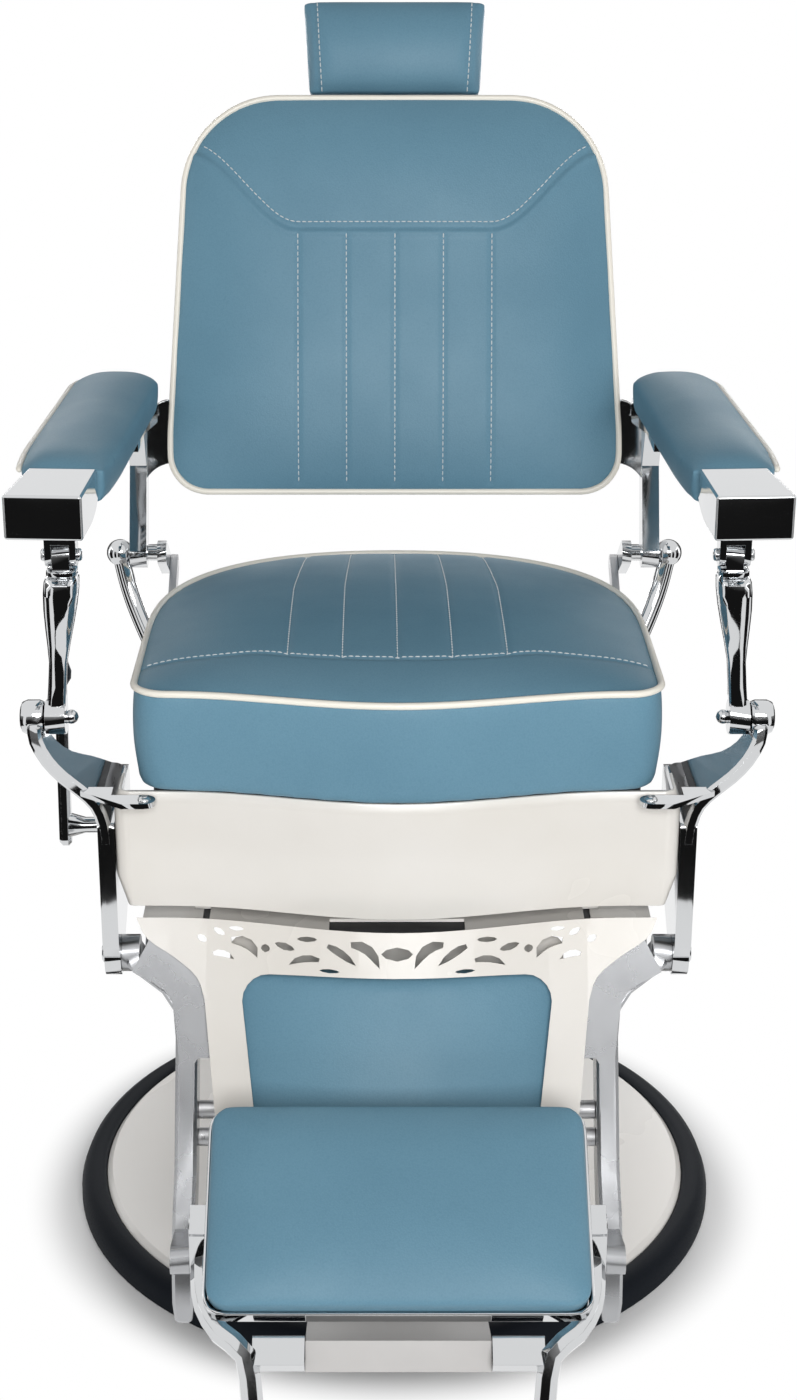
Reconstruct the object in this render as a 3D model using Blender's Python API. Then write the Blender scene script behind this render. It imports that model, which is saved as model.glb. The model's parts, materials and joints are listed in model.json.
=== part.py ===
# Hydraulic barber chair: reclining back, linked arms and leg rest, on a round pump base.
# Metres, +Z up, the sitter faces -Y. The origin is on the floor under the column.
# "right" and "left" are the sitter's: right is -X.

import math

import bmesh
import bpy
from mathutils import Matrix, Vector

for item in list(bpy.data.objects):
    bpy.data.objects.remove(item, do_unlink=True)

# Fits
GAP = 0.0003            # between pieces that touch
TURN_PLAY = 0.0006      # radial play of a turning pin
OPEN_PLAY = 0.0016      # radial play where the linkage closes on itself
SLIDE_PLAY = 0.0006     # play of a sliding bar

# Base and pump
BASE_R = 0.345
RIM_W = 0.028
RIM_H = 0.033
PLATE_T = 0.0045
PLATE_DISH = 0.014      # rise of the base plate from its edge to its hub
HUB_R = 0.068
HUB_RISE = 0.034
FOOT_R = 0.100
FOOT_T = 0.010
CYLINDER_R = 0.055
CYLINDER_TOP = 0.285
CYLINDER_FLOOR = 0.020
GLAND_SKIRT = 0.030
GLAND_LIP = 0.018
GLAND_WALL = 0.008
RAM_R = 0.040
RAM_WALL = 0.003        # cylinder bore past the ram
RAM_FOOT = 0.095
HEAD_Z = 0.408
HEAD_T = 0.012
HEAD_R = 0.066
SPIGOT_R = 0.025
CAP_T = 0.010
CAP_R = 0.040

# Pump pedal, behind the column
PEDAL_Y = 0.118
PEDAL_RISE = 0.022      # pivot above its seat on the base plate
PEDAL_ROD_R = 0.008
PEDAL_EYE_R = 0.0125
PEDAL_EYE_T = 0.020
PEDAL_REACH = 0.275
PEDAL_DROP = 0.006      # the pad lies this much below the pivot
PEDAL_PIN_R = 0.005
PEDAL_CHEEK_T = 0.008
PEDAL_PAD_L = 0.066
PEDAL_PAD_R = 0.0125

# Seat frame
CARRIER_T = 0.012
CARRIER_Y = 0.150
RAIL_T = 0.008
RAIL_X = 0.190
RAIL_H = 0.126
RAIL_FRONT = -0.165
RAIL_REAR = 0.180
TUBE_R = 0.0125
TUBE_DROP = 0.041       # tube centres below the rail tops
FRONT_TUBE_Y = -0.135
REAR_TUBE_Y = 0.150
PAN_T = 0.0195
PAN_INSET = 0.015

# Seat cushion
SEAT_HALF = 0.2445
SEAT_FRONT = -0.255     # at the sides, the middle swells forward by BOW
SEAT_REAR = 0.188
SEAT_FALL = 0.008       # the sewn edge is lower at the rear
SEAT_WIDE_Y = -0.100
SEAT_CORNER = 0.032
SEAT_EDGE_H = 0.099     # height of the sewn edge above the pan
SEAT_CROWN = 0.030
BOW = 0.030
BOW_HALF = 0.215
PLEAT_STEP = 0.0515
PLEAT_HALF = 0.007
PLEAT_D = 0.0025
PLEATS = 5
SEAM_Y = -0.190         # cross seam of the seat, at its middle

# Apron
APRON_LAP = 0.0215      # half width past the cushion's
APRON_FRONT = -0.252
APRON_H = 0.121
APRON_T = 0.003
APRON_RETURN = 0.034
APRON_CORNER = 0.016
APRON_LIP = 0.010       # top band
APRON_SKIRT = 0.034     # bottom band
APRON_LIP_IN = 0.005
APRON_SKIRT_IN = 0.010

# Pivots: place along Y and height above the cushion's underside
POST_PIVOT_Y = -0.200
POST_PIVOT_RISE = 0.056
BACK_PIVOT_Y = 0.210
BACK_PIVOT_RISE = 0.086
LEG_PIVOT_Y = -0.215
LEG_PIVOT_DROP = 0.185
ARM_LINK = Vector((0.010, 0.157))     # post, and back bar up to the arm: one parallelogram
CRANK = Vector((0.042, -0.027))       # crank on the back and on the leg: another

# Side frame castings
FRAME_T = 0.0157
FRAME_FRONT = -0.244
FRAME_REAR = -0.092
FRAME_TOP_DROP = 0.036
FRAME_FOOT = 0.008      # the casting's foot below the leg pivot
FRAME_FOOT_HALF = 0.012
FRAME_CHIN = 0.020      # its front corner above the leg pivot
FRAME_RISE = 0.075      # its rear edge above the leg pivot
FRAME_KNEE = 0.030
LEG_BOSS_R = 0.021
LEG_PIN_R = 0.008
STRAP_T = 0.013
POST_BOSS_R = 0.0165
POST_BOSS_L = 0.0235
POST_BOSS_ROUND = 0.006
POST_PIN_R = 0.006
POST_PIN_KNOB_R = 0.0068
LUG_L = 0.042
LUG_D = 0.021
LUG_T = 0.005
LUG_DROP = 0.0015       # lug's top below the cushion
LUG_ROOT = 0.030        # where it meets the strap, out from the frame's inner face

# Rear horns
HORN_R = 0.0085
BALL_R = 0.0145
BACK_PIN_R = 0.0065

# Arms
BAR_STEP = 0.004         # back bar from the side frame's inner face
BAR_T = 0.0185
ARM_STEP = 0.0082        # arm centre line out from the back bar, at the post
ARM_SPLAY = math.radians(3.0)   # the arms open towards the front
POST_STEP = 0.013
POST_LEAN = 0.011       # the post's foot stands this much further out
POST_EYE_T = 0.019
POST_EYE_R = 0.0165
POST_HALF = 0.016       # widest, below the collar
POST_DEEP = 0.0245
POST_CLEAR = 0.0015     # collar below the arm's cheeks
CLEVIS_EYE_T = 0.016
CLEVIS_EYE_R = 0.0105
CHEEK_T = 0.0062
CHEEK_R = 0.0108
CLEVIS_PIN_R = 0.005
CLEVIS_KNOB_R = 0.0062
CLEVIS_KNOB_L = 0.0048
ARM_RISE = 0.041        # rail underside above the front arm pivot
ARM_RAIL_T = 0.0125
ARM_RAIL_HALF = 0.018
ARM_RAIL_STOP = 0.030   # rail ends short of the pad's rear
ARM_LUG_T = 0.014
ARM_LUG_R = 0.0135
ARM_LUG_L = 0.120
ARM_HEEL = 0.022
TONGUE_L = 0.053        # the rail runs on under the arm box
TONGUE_HALF = 0.014
ARM_FRONT = -0.300
BOX_L = 0.088
BOX_HALF = 0.035
BOX_H = 0.041
BOX_OUT = 0.0075        # box centre line out from the pad's
BOX_NARROW = 0.007      # its outer wall draws in towards the rear
BOX_FLAT = 0.042        # its underside is level this far, then curves up
BOX_LIFT = 0.019
BOX_RISE = 0.002        # its top above the pad's sewn edge
BOX_EDGE = 0.0025
PAD_HALF = 0.0385
PAD_DRAW = 0.19         # share of its width that the pad loses at the box
PAD_DRAW_L = 0.25       # over this share of its length
PAD_L = 0.342
PAD_H = 0.033
PAD_CROWN = 0.011
PAD_SWELL = 0.0015
PAD_TUCK = 0.004

# Back
BACK_TILT = math.radians(18.5)
BACK_LOW = 0.065        # along the back from its pivot
BACK_LEN = 0.419
BACK_LAP = -0.0035
BACK_TAPER = 0.021
BACK_CORNER = 0.040
BACK_SHOULDER = 0.095
BACK_EDGE = 0.043       # sewn edge in front of the pivot
BACK_THICK = 0.073
BACK_CROWN = 0.020
YOKE_H = 0.279          # flat of the yoke seam above the lower edge
YOKE_RISE = 0.085
PANEL_T = 0.012
PANEL_INSET = 0.010
BAR_EYE_R = 0.0165
FLANGE_T = 0.006
FLANGE_H = 0.110
FLANGE_LOW = 0.100
FLANGE_IN = 0.190
CRANK_T = 0.010
CRANK_R = 0.011
CRANK_PIN_R = 0.005
SHAFT_R = 0.009
LINK_T = 0.008
LINK_R = 0.0105

# Headrest
SOCKET_HALF = 0.030
SOCKET_H = 0.080
SOCKET_DROP = 0.044     # socket's top below the back's
SOCKET_D = 0.028
SOCKET_WALL = 0.008     # in front of the bar
HEAD_BAR_HALF = 0.012
HEAD_BAR_T = 0.010
HEAD_BAR_L = 0.270
HEAD_HINGE_RISE = 0.049     # hinge above the pad's lower edge
HEAD_PIN_R = 0.005
HEAD_EYE_R = 0.0095
KNOB_R = 0.018
KNOB_L = 0.026
KNOB_STEM_R = 0.006
HEAD_PAD_HALF = 0.098
HEAD_PAD_CLEAR = 0.010      # pad above the back
HEAD_PAD_H = 0.098
HEAD_PAD_EDGE = 0.012
HEAD_PAD_BACK = 0.040
HEAD_PAD_CROWN = 0.024
HEAD_CHEEK_T = 0.008
HEAD_PLATE_T = 0.005
HEAD_PLATE_HALF = 0.045
HEAD_PLATE_H = 0.030

# Leg rest, measured down the leg (s) and out of it (n) from the pivot
LEG_TILT = math.radians(25.0)
LEG_EYE_T = 0.017
LEG_EYE_R = 0.018
LEG_LEN = 0.346
LEG_FRAME_X = 0.2015
LEG_FRAME_T = 0.021
PANEL_OUT = 0.0405      # panel face at its sides, the middle swells out by BOW
LEG_PANEL_T = 0.004
LEG_PANEL_HALF = 0.2495
LEG_PANEL_WAIST = 0.1835
LEG_PANEL_FOOT = 0.170
LEG_PANEL_TOP = -0.021
LEG_PANEL_SHOULDER = 0.014
LEG_PANEL_FLARE = 0.0784    # from the shoulder down to the waist
LEG_PANEL_LOW = 0.196
LEG_PANEL_CHIN = 0.010
LEG_BOW_HALF = 0.220
PANEL_LAP = 0.005           # the panel's edge over the leg castings
CASTING_DEEP = 0.020        # depth of the castings' broad fronts
STRIP_W = 0.011             # width of their lower strips
STRIP_FROM = 0.099
STRIP_LOW = 0.192
TOP_FLANGE = 0.040
TOP_FLANGE_SHORT = 0.006
TOP_FLANGE_T = 0.003
WINDOW_TOP = 0.0220
WINDOW_DIP = 0.004
WINDOW_LOW = 0.176
WINDOW_HALF = 0.1475
WINDOW_FOOT = 0.134
WINDOW_CORNER = 0.026
WINDOW_CHIN = 0.012
SLOT_HALF = 0.0645
SLOT_FROM = 0.005           # behind the panel's face
SLOT_D = 0.027
NOTCH_X = 0.1795            # L-shaped notches towards the flange's ends
NOTCH_W = 0.0065
NOTCH_D = 0.026
NOTCH_FOOT = 0.009
NOTCH_FOOT_D = 0.006
BOARD_T = 0.008
BOARD_OUT = 0.022
BOARD_HALF = 0.160
BOARD_TOP_DROP = 0.004      # below the panel's top edge
BOARD_LOW = 0.186
BOARD_CORNER = 0.012
LEG_BAR_R = 0.009
LEG_BARS = (0.150, 0.176)
CALF_MARGIN = 0.008
CALF_LOW_DROP = 0.004
CALF_EDGE_H = 0.006
CALF_CLEAR = 0.003

# Footrest, measured up the pad (p) and out of it (q) from the knuckles
KNUCKLE_Y = -0.430
KNUCKLE_DROP = 0.390    # below the cushion's underside
FOOT_TILT = math.radians(56.0)
FOOT_HALF = 0.171
FOOT_LOW = -0.073
FOOT_LEN = 0.191
FOOT_EDGE = 0.078
FOOT_CROWN = 0.017
FOOT_CORNER = 0.022
TRAY_FLOOR = 0.046
TRAY_T = 0.003
TRAY_WALL = 0.003
TRAY_RIM = 0.017
KNUCKLE_R = 0.0135
KNUCKLE_PIN_R = 0.006
FOOT_EYE_T = 0.016
FOOT_LINK_R = 0.010
FOOT_LINK_UP = 0.020
FOOT_ARM_R = 0.0105
FOOT_ARM_OUT = 0.036        # arm tips out from the foot plate
FOOT_SEAT_T = 0.006         # arm seats under the tray
FOOT_SEAT_W = 0.030
FOOT_SEAT_LOW = 0.006
FOOT_SEAT_H = 0.028
LEDGE_OUT = -0.036          # blocks that carry the foot plate's ends
LEDGE_T = 0.016
LEDGE_LOW = -0.112
LEDGE_H = 0.027
TREAD_HALF = 0.083
TREAD_T = 0.004
TREAD_OUT = -0.0325
TREAD_HEAD = -0.0845
TREAD_D = 0.062
TREAD_RISE = 0.038
TREAD_LEAN = 0.0145
TREAD_LIP = 0.0255

# Recline lever, on the sitter's right
LEVER_Y = -0.112
LEVER_DROP = 0.0955
LEVER_SHAFT_R = 0.0080
LEVER_CONE_R = 0.0125
LEVER_CONE_L = 0.014
LEVER_X = 0.042         # lever blade out from the frame
LEVER_T = 0.012
LEVER_W = 0.017
LEVER_TAIL = 0.013      # blade below its pivot
LEVER_LEN = 0.137
LEVER_LEAN = math.radians(6.0)
LEVER_KNOB_R = 0.011
LEVER_KNOB_L = 0.029

ROUND = 12              # steps of small round pieces
WIDE = 32               # steps of the base
COLUMN = 16             # steps of the column

# Levels and planes that follow from the sizes above
CARRIER_Z = HEAD_Z + HEAD_T + GAP
RAIL_Z = CARRIER_Z + CARRIER_T + GAP
PAN_Z = RAIL_Z + RAIL_H + GAP
CUSHION_Z = PAN_Z + PAN_T + GAP
TUBE_Z = RAIL_Z + RAIL_H - TUBE_DROP
POST_PIVOT = Vector((POST_PIVOT_Y, CUSHION_Z + POST_PIVOT_RISE))
BACK_PIVOT = Vector((BACK_PIVOT_Y, CUSHION_Z + BACK_PIVOT_RISE))
LEG_PIVOT = Vector((LEG_PIVOT_Y, CUSHION_Z - LEG_PIVOT_DROP))
KNUCKLE = Vector((KNUCKLE_Y, CUSHION_Z - KNUCKLE_DROP))
ARM_FRONT_PIVOT = POST_PIVOT + ARM_LINK
ARM_REAR_PIVOT = BACK_PIVOT + ARM_LINK
APRON_HALF = SEAT_HALF + APRON_LAP
FRAME_IN = APRON_HALF + GAP
FRAME_OUT = FRAME_IN + FRAME_T
LEG_EYE_OUT = FRAME_IN - GAP
LEG_EYE_IN = LEG_EYE_OUT - LEG_EYE_T
LINK_OUT = LEG_EYE_IN - GAP
LINK_IN = LINK_OUT - LINK_T
BAR_IN = FRAME_IN + BAR_STEP
BAR_OUT = BAR_IN + BAR_T
ARM_X = BAR_OUT + ARM_STEP
POST_X = ARM_X + POST_STEP
BACK_HALF = SEAT_HALF + BACK_LAP
PANEL_BACK = BACK_THICK - BACK_EDGE + GAP
ARM_RAIL_Z = ARM_FRONT_PIVOT.y + ARM_RISE
PAD_Z = ARM_RAIL_Z + ARM_RAIL_T + GAP
BASE_EDGE = BASE_R - RIM_W - GAP
PLATE_SEAT_Z = RIM_H + PLATE_DISH
PEDAL_Z = PLATE_SEAT_Z + GAP + PEDAL_RISE
BACK_TOP = BACK_LOW + BACK_LEN
SOCKET_TOP = BACK_TOP - SOCKET_DROP
HEAD_PAD_LOW = BACK_TOP + HEAD_PAD_CLEAR
HEAD_HINGE_V = HEAD_PAD_LOW + HEAD_HINGE_RISE
LEG_IN = LEG_FRAME_X - LEG_FRAME_T / 2
LEG_OUT = LEG_FRAME_X + LEG_FRAME_T / 2

FINISHES = {
    "chrome": ((0.80, 0.80, 0.80), 1.0, 0.06),
    "steel": ((0.55, 0.55, 0.56), 1.0, 0.35),
    "cream": ((0.80, 0.77, 0.72), 0.0, 0.30),
    "rubber": ((0.012, 0.014, 0.018), 0.0, 0.60),
    "vinyl": ((0.156, 0.305, 0.402), 0.0, 0.42),
    "plywood": ((0.42, 0.29, 0.17), 0.0, 0.70),
    "black": ((0.02, 0.02, 0.022), 0.0, 0.45),
}


# Building helpers

def shaped(bm):
    bmesh.ops.recalc_face_normals(bm, faces=bm.faces)
    mesh = bpy.data.meshes.new("shape")
    bm.to_mesh(mesh)
    bm.free()
    obj = bpy.data.objects.new("shape", mesh)
    bpy.context.scene.collection.objects.link(obj)
    return obj


def to_axis(axis, along, u, v):
    if axis == "X":
        return (along, u, v)
    if axis == "Y":
        return (u, along, v)
    return (u, v, along)


def extruded(outline, axis, low, high):
    """Flat outline pushed along an axis: (y, z) along X, (x, z) along Y, (x, y) along Z."""
    bm = bmesh.new()
    face = bm.faces.new([bm.verts.new(to_axis(axis, low, u, v)) for u, v in outline])
    pushed = bmesh.ops.extrude_face_region(bm, geom=[face])
    moved = [g for g in pushed["geom"] if isinstance(g, bmesh.types.BMVert)]
    bmesh.ops.translate(bm, verts=moved, vec=to_axis(axis, high - low, 0.0, 0.0))
    return shaped(bm)


def turned(profile, steps=ROUND, closed=False):
    """(radius, z) profile spun about Z: a closed ring, or an open line from axis to axis."""
    bm = bmesh.new()
    line = [bm.verts.new((r, 0.0, z)) for r, z in profile]
    edges = [bm.edges.new(pair) for pair in zip(line, line[1:])]
    if closed:
        edges.append(bm.edges.new((line[-1], line[0])))
    bmesh.ops.spin(bm, geom=line + edges, cent=(0, 0, 0), axis=(0, 0, 1), angle=math.tau, steps=steps)
    bmesh.ops.remove_doubles(bm, verts=bm.verts, dist=1e-6)
    return shaped(bm)


def lofted(rings):
    """Closed rings of equal length joined in order, with both ends capped."""
    bm = bmesh.new()
    loops = [[bm.verts.new(p) for p in ring] for ring in rings]
    for low, high in zip(loops, loops[1:]):
        for i in range(len(low)):
            k = (i + 1) % len(low)
            bm.faces.new((low[i], low[k], high[k], high[i]))
    bm.faces.new(loops[0])
    bm.faces.new(loops[-1])
    return shaped(bm)


def tubed(points, radius, sides=2):
    """Round bar along a smooth line through the points."""
    curve = bpy.data.curves.new("bar", "CURVE")
    curve.dimensions = "3D"
    curve.bevel_depth = radius
    curve.bevel_resolution = sides
    curve.use_fill_caps = True
    line = smooth_line(points, 2)
    spline = curve.splines.new("POLY")
    spline.points.add(len(line) - 1)
    for point, place in zip(spline.points, line):
        point.co = (*place, 1.0)
    guide = bpy.data.objects.new("bar", curve)
    bpy.context.scene.collection.objects.link(guide)
    bpy.context.view_layer.update()
    graph = bpy.context.evaluated_depsgraph_get()
    bm = bmesh.new()
    bm.from_mesh(guide.evaluated_get(graph).to_mesh())
    bmesh.ops.remove_doubles(bm, verts=bm.verts, dist=1e-6)
    bpy.data.objects.remove(guide, do_unlink=True)
    return shaped(bm)


def smooth_line(points, steps=3):
    """Catmull-Rom line through hand-set points."""
    knots = [Vector(p) for p in points]
    knots = [2 * knots[0] - knots[1], *knots, 2 * knots[-1] - knots[-2]]
    line = []
    for a, b, c, d in zip(knots, knots[1:], knots[2:], knots[3:]):
        for i in range(steps):
            t = i / steps
            line.append(0.5 * (2 * b + (c - a) * t + (2 * a - 5 * b + 4 * c - d) * t ** 2
                               + (3 * b - a - 3 * c + d) * t ** 3))
    line.append(knots[-2])
    return line


def arc(centre, radius, start, end, steps=6):
    turn = [math.radians(start + (end - start) * i / steps) for i in range(steps + 1)]
    return [(centre[0] + radius * math.cos(a), centre[1] + radius * math.sin(a)) for a in turn]


def disc(centre, radius, axis, low, high, steps=ROUND):
    return extruded(arc(centre, radius, 0, 360 - 360 / steps, steps - 1), axis, low, high)


def ball(centre, radius):
    bm = bmesh.new()
    bmesh.ops.create_uvsphere(bm, u_segments=12, v_segments=6, radius=radius,
                              matrix=Matrix.Translation(Vector(centre)))
    return shaped(bm)


def eye_bar(a, b, radius_a, radius_b, steps=7):
    """Outline of a bar with a round eye at each end."""
    way = math.degrees(math.atan2(b[1] - a[1], b[0] - a[0]))
    span = math.hypot(b[0] - a[0], b[1] - a[1])
    lean = math.degrees(math.asin((radius_a - radius_b) / span))
    tail = arc(a, radius_a, way + 90 - lean, way + 270 + lean, steps)
    return tail + arc(b, radius_b, way - 90 + lean, way + 90 - lean, steps)


def filleted(corners, radius, steps=4):
    """Outline with every corner rounded."""
    outline = []
    count = len(corners)
    for i, corner in enumerate(corners):
        here = Vector(corner)
        back = (Vector(corners[i - 1]) - here).normalized()
        ahead = (Vector(corners[(i + 1) % count]) - here).normalized()
        half = back.angle(ahead) / 2
        reach = radius / math.tan(half)
        start = here + back * reach
        end = here + ahead * reach
        for k in range(steps + 1):
            t = k / steps
            outline.append(tuple((1 - t) ** 2 * start + 2 * t * (1 - t) * here + t ** 2 * end))
    return outline


def box(x0, x1, y0, y1, z0, z1):
    return extruded([(x0, y0), (x1, y0), (x1, y1), (x0, y1)], "Z", z0, z1)


def combined(target, tools, operation):
    for tool in tools:
        step = target.modifiers.new(operation, "BOOLEAN")
        step.operation = operation
        step.solver = "EXACT"
        step.object = tool
    return baked(target, tools)


def baked(target, tools=()):
    bpy.context.view_layer.update()
    graph = bpy.context.evaluated_depsgraph_get()
    mesh = bpy.data.meshes.new_from_object(target.evaluated_get(graph))
    target.modifiers.clear()
    target.data = mesh
    bm = bmesh.new()
    bm.from_mesh(mesh)
    bmesh.ops.remove_doubles(bm, verts=bm.verts, dist=2e-6)
    bmesh.ops.dissolve_degenerate(bm, edges=bm.edges, dist=2e-6)
    bm.to_mesh(mesh)
    bm.free()
    for tool in tools:
        bpy.data.objects.remove(tool, do_unlink=True)
    return target


def united(target, *tools):
    return combined(target, tools, "UNION")


def cut(target, *tools):
    return combined(target, tools, "DIFFERENCE")


def kept_inside(target, *tools):
    return combined(target, tools, "INTERSECT")


def softened(obj, width, segments=2, angle=40.0):
    step = obj.modifiers.new("edges", "BEVEL")
    step.width = width
    step.segments = segments
    step.limit_method = "ANGLE"
    step.angle_limit = math.radians(angle)
    return baked(obj)


def swung(outline, tilt):
    """World (y, z) offsets as offsets in a frame tilted back by the angle."""
    c = math.cos(tilt)
    s = math.sin(tilt)
    return [(y * c - z * s, y * s + z * c) for y, z in outline]


def finish(obj, name, kind, pivot=(0.0, 0.0), tilt=0.0, sign=1):
    """Name, place and colour a finished solid; sign -1 mirrors it to the sitter's right."""
    if sign < 0:
        bm = bmesh.new()
        bm.from_mesh(obj.data)
        bmesh.ops.scale(bm, vec=(-1, 1, 1), verts=bm.verts)
        bmesh.ops.reverse_faces(bm, faces=bm.faces)
        bm.to_mesh(obj.data)
        bm.free()
    colour, metallic, roughness = FINISHES[kind]
    material = bpy.data.materials.new(name + "_" + kind)
    material.use_nodes = True
    shader = material.node_tree.nodes["Principled BSDF"]
    shader.inputs["Base Color"].default_value = (*colour, 1.0)
    shader.inputs["Metallic"].default_value = metallic
    shader.inputs["Roughness"].default_value = roughness
    obj.data.materials.clear()
    obj.data.materials.append(material)
    obj.data.shade_smooth()
    obj.data.set_sharp_from_angle(angle=math.radians(35))
    obj.name = name
    obj.data.name = name
    obj.location = (0.0, pivot[0], pivot[1])
    obj.rotation_euler = (-tilt, 0.0, 0.0)
    return obj


SIDES = (("right", -1), ("left", 1))


def bow(x, half, depth=BOW):
    """Forward swell of the front, nothing at the sides and full in the middle."""
    if abs(x) >= half:
        return 0.0
    return depth * (0.5 + 0.5 * math.cos(math.pi * x / half))


def spread(low, high, count):
    return [low + (high - low) * i / (count - 1) for i in range(count)]


# Upholstery

def pleat_columns(half, count=3):
    """Column places across a cushion: close round each pleat, then out to the edge."""
    pleats = [(i - (PLEATS - 1) / 2) * PLEAT_STEP for i in range(PLEATS)]
    inner = [p + d for p in pleats for d in (-PLEAT_HALF, 0.0, PLEAT_HALF)]
    squeeze = min(1.0, half / (1.3 * inner[-1]))
    inner = [x * squeeze for x in inner]
    last = inner[-1]
    outer = [last + (half - last) * math.sin(math.pi / 2 * (i + 1) / count) for i in range(count)]
    return [-x for x in reversed(outer)] + inner + outer


def on_pleat(index, count=3):
    inner = index - count
    return 0 <= inner < 3 * PLEATS and inner % 3 == 1


def upholstered(rows, floor, swell, tuck):
    """Closed cushion from a grid of (u, v, h) points: sewn edge, swollen border, flat underside."""
    bm = bmesh.new()
    grid = [[bm.verts.new(p) for p in row] for row in rows]
    for low, high in zip(grid, grid[1:]):
        for i in range(len(low) - 1):
            bm.faces.new((low[i], low[i + 1], high[i + 1], high[i]))
    edge = grid[0][:-1] + [row[-1] for row in grid[:-1]] + grid[-1][:0:-1] + [row[0] for row in grid[:0:-1]]
    belly = []
    foot = []
    for i, vert in enumerate(edge):
        run = edge[(i + 1) % len(edge)].co - edge[i - 1].co
        out = Vector((run.y, -run.x, 0.0)).normalized()
        middle = vert.co + out * swell
        middle.z = (vert.co.z + floor) / 2
        low = vert.co - out * tuck
        low.z = floor
        belly.append(bm.verts.new(middle))
        foot.append(bm.verts.new(low))
    for upper, lower in ((edge, belly), (belly, foot)):
        for i in range(len(edge)):
            k = (i + 1) % len(edge)
            bm.faces.new((upper[i], lower[i], lower[k], upper[k]))
    bm.faces.new(list(reversed(foot)))
    return shaped(bm)


def stood_up(obj):
    """Turn a cushion made lying on its back so that its face looks along -Y."""
    obj.data.transform(Matrix.Rotation(math.radians(90), 4, "X"))
    return obj


def seat_half(y, inset=0.0):
    half = SEAT_HALF
    front = SEAT_FRONT + SEAT_CORNER
    if y < front:
        half -= SEAT_CORNER - math.sqrt(max(SEAT_CORNER ** 2 - (front - y) ** 2, 0.0))
    if y > SEAT_WIDE_Y:
        t = (y - SEAT_WIDE_Y) / (SEAT_REAR - SEAT_WIDE_Y)
        half = SEAT_HALF * max(1.0 - t ** 3, 0.0) ** 0.4545
    return half - inset


def seat_rows():
    """Row places from the front edge to the rear, close at both ends and at the cross seam."""
    rows = [SEAT_FRONT + SEAT_CORNER * f for f in (0.0, 0.06, 0.25, 0.6, 1.0)]
    rows += [SEAM_Y - PLEAT_HALF, SEAM_Y, SEAM_Y + PLEAT_HALF]
    depth = SEAT_REAR - SEAM_Y
    rows += [SEAM_Y + depth * f for f in (0.12, 0.26, 0.42, 0.58, 0.72, 0.83, 0.91, 0.96, 0.985)]
    return rows


def seat_cushion():
    places = seat_rows()
    seam = places.index(SEAM_Y)
    grid = []
    for row, y in enumerate(places):
        half = seat_half(y)
        columns = pleat_columns(half)
        line = []
        for index, x in enumerate(columns):
            t = (y - SEAT_FRONT) / (SEAT_REAR - SEAT_FRONT)
            across = 1.0 - abs(x / half) ** 3
            along = (1.0 - (1.0 - t) ** 6) * (1.0 - t ** 2.5)
            h = CUSHION_Z + SEAT_EDGE_H - SEAT_FALL * t + SEAT_CROWN * (max(across * along, 0.0)) ** 0.7
            if row == seam or (seam < row < len(places) - 2 and on_pleat(index)):
                h -= PLEAT_D * min(1.0, 2.5 * across)
            forward = bow(x, BOW_HALF) * (1.0 - t) ** 2
            line.append((x, y - forward, h))
        grid.append(line)
    finish(upholstered(grid, CUSHION_Z, 0.0035, 0.002), "seat_cushion", "vinyl")


def seat_pan():
    right = []
    for y in seat_rows()[::-1]:
        half = seat_half(y, PAN_INSET)
        right.append((half, max(SEAT_FRONT + PAN_INSET, min(y, SEAT_REAR - PAN_INSET))))
    right = [p for p in right if p[0] > PAN_INSET]
    front = right[-1][1]
    span = right[-1][0]
    middle = [(x, front - bow(x, BOW_HALF) * 0.9) for x in spread(span, -span, 13)[1:-1]]
    outline = right + middle + [(-x, y) for x, y in reversed(right)]
    outline = [p for i, p in enumerate(outline) if (Vector(p) - Vector(outline[i - 1])).length > 0.002]
    finish(extruded(outline, "Z", PAN_Z, PAN_Z + PAN_T), "seat_pan", "plywood")


# Base and pump

def base_rim():
    r = BASE_R
    inner = BASE_R - RIM_W
    profile = [(inner, 0.0), (r - 0.006, 0.0), (r, 0.006), (r, RIM_H * 0.5)]
    profile += [(r - 0.004, RIM_H * 0.82), (r - 0.012, RIM_H), (inner + 0.004, RIM_H), (inner, RIM_H - 0.003)]
    finish(turned(profile, WIDE, closed=True), "base_rim", "rubber")


def base_plate():
    edge = BASE_EDGE
    top = RIM_H + 0.002
    bore = CYLINDER_R + GAP
    flat = HUB_R + 0.085
    seat = PLATE_SEAT_Z
    profile = [(edge, 0.004), (edge, top - 0.006), (edge - 0.006, top), (edge - 0.020, top + 0.0015)]
    profile += [(flat, seat), (HUB_R + 0.010, seat), (HUB_R, seat + 0.008), (HUB_R, seat + HUB_RISE)]
    hub_top = seat + HUB_RISE + 0.003
    profile += [(HUB_R - 0.004, hub_top), (bore, hub_top), (bore, FOOT_T + GAP)]
    profile += [(HUB_R, FOOT_T + GAP), (HUB_R, seat - PLATE_T), (flat, seat - PLATE_T)]
    inner = edge - PLATE_T
    profile += [(edge - 0.020, top - PLATE_T), (inner, top - PLATE_T - 0.004), (inner, 0.004)]
    finish(turned(profile, WIDE, closed=True), "base_plate", "cream")


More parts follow.
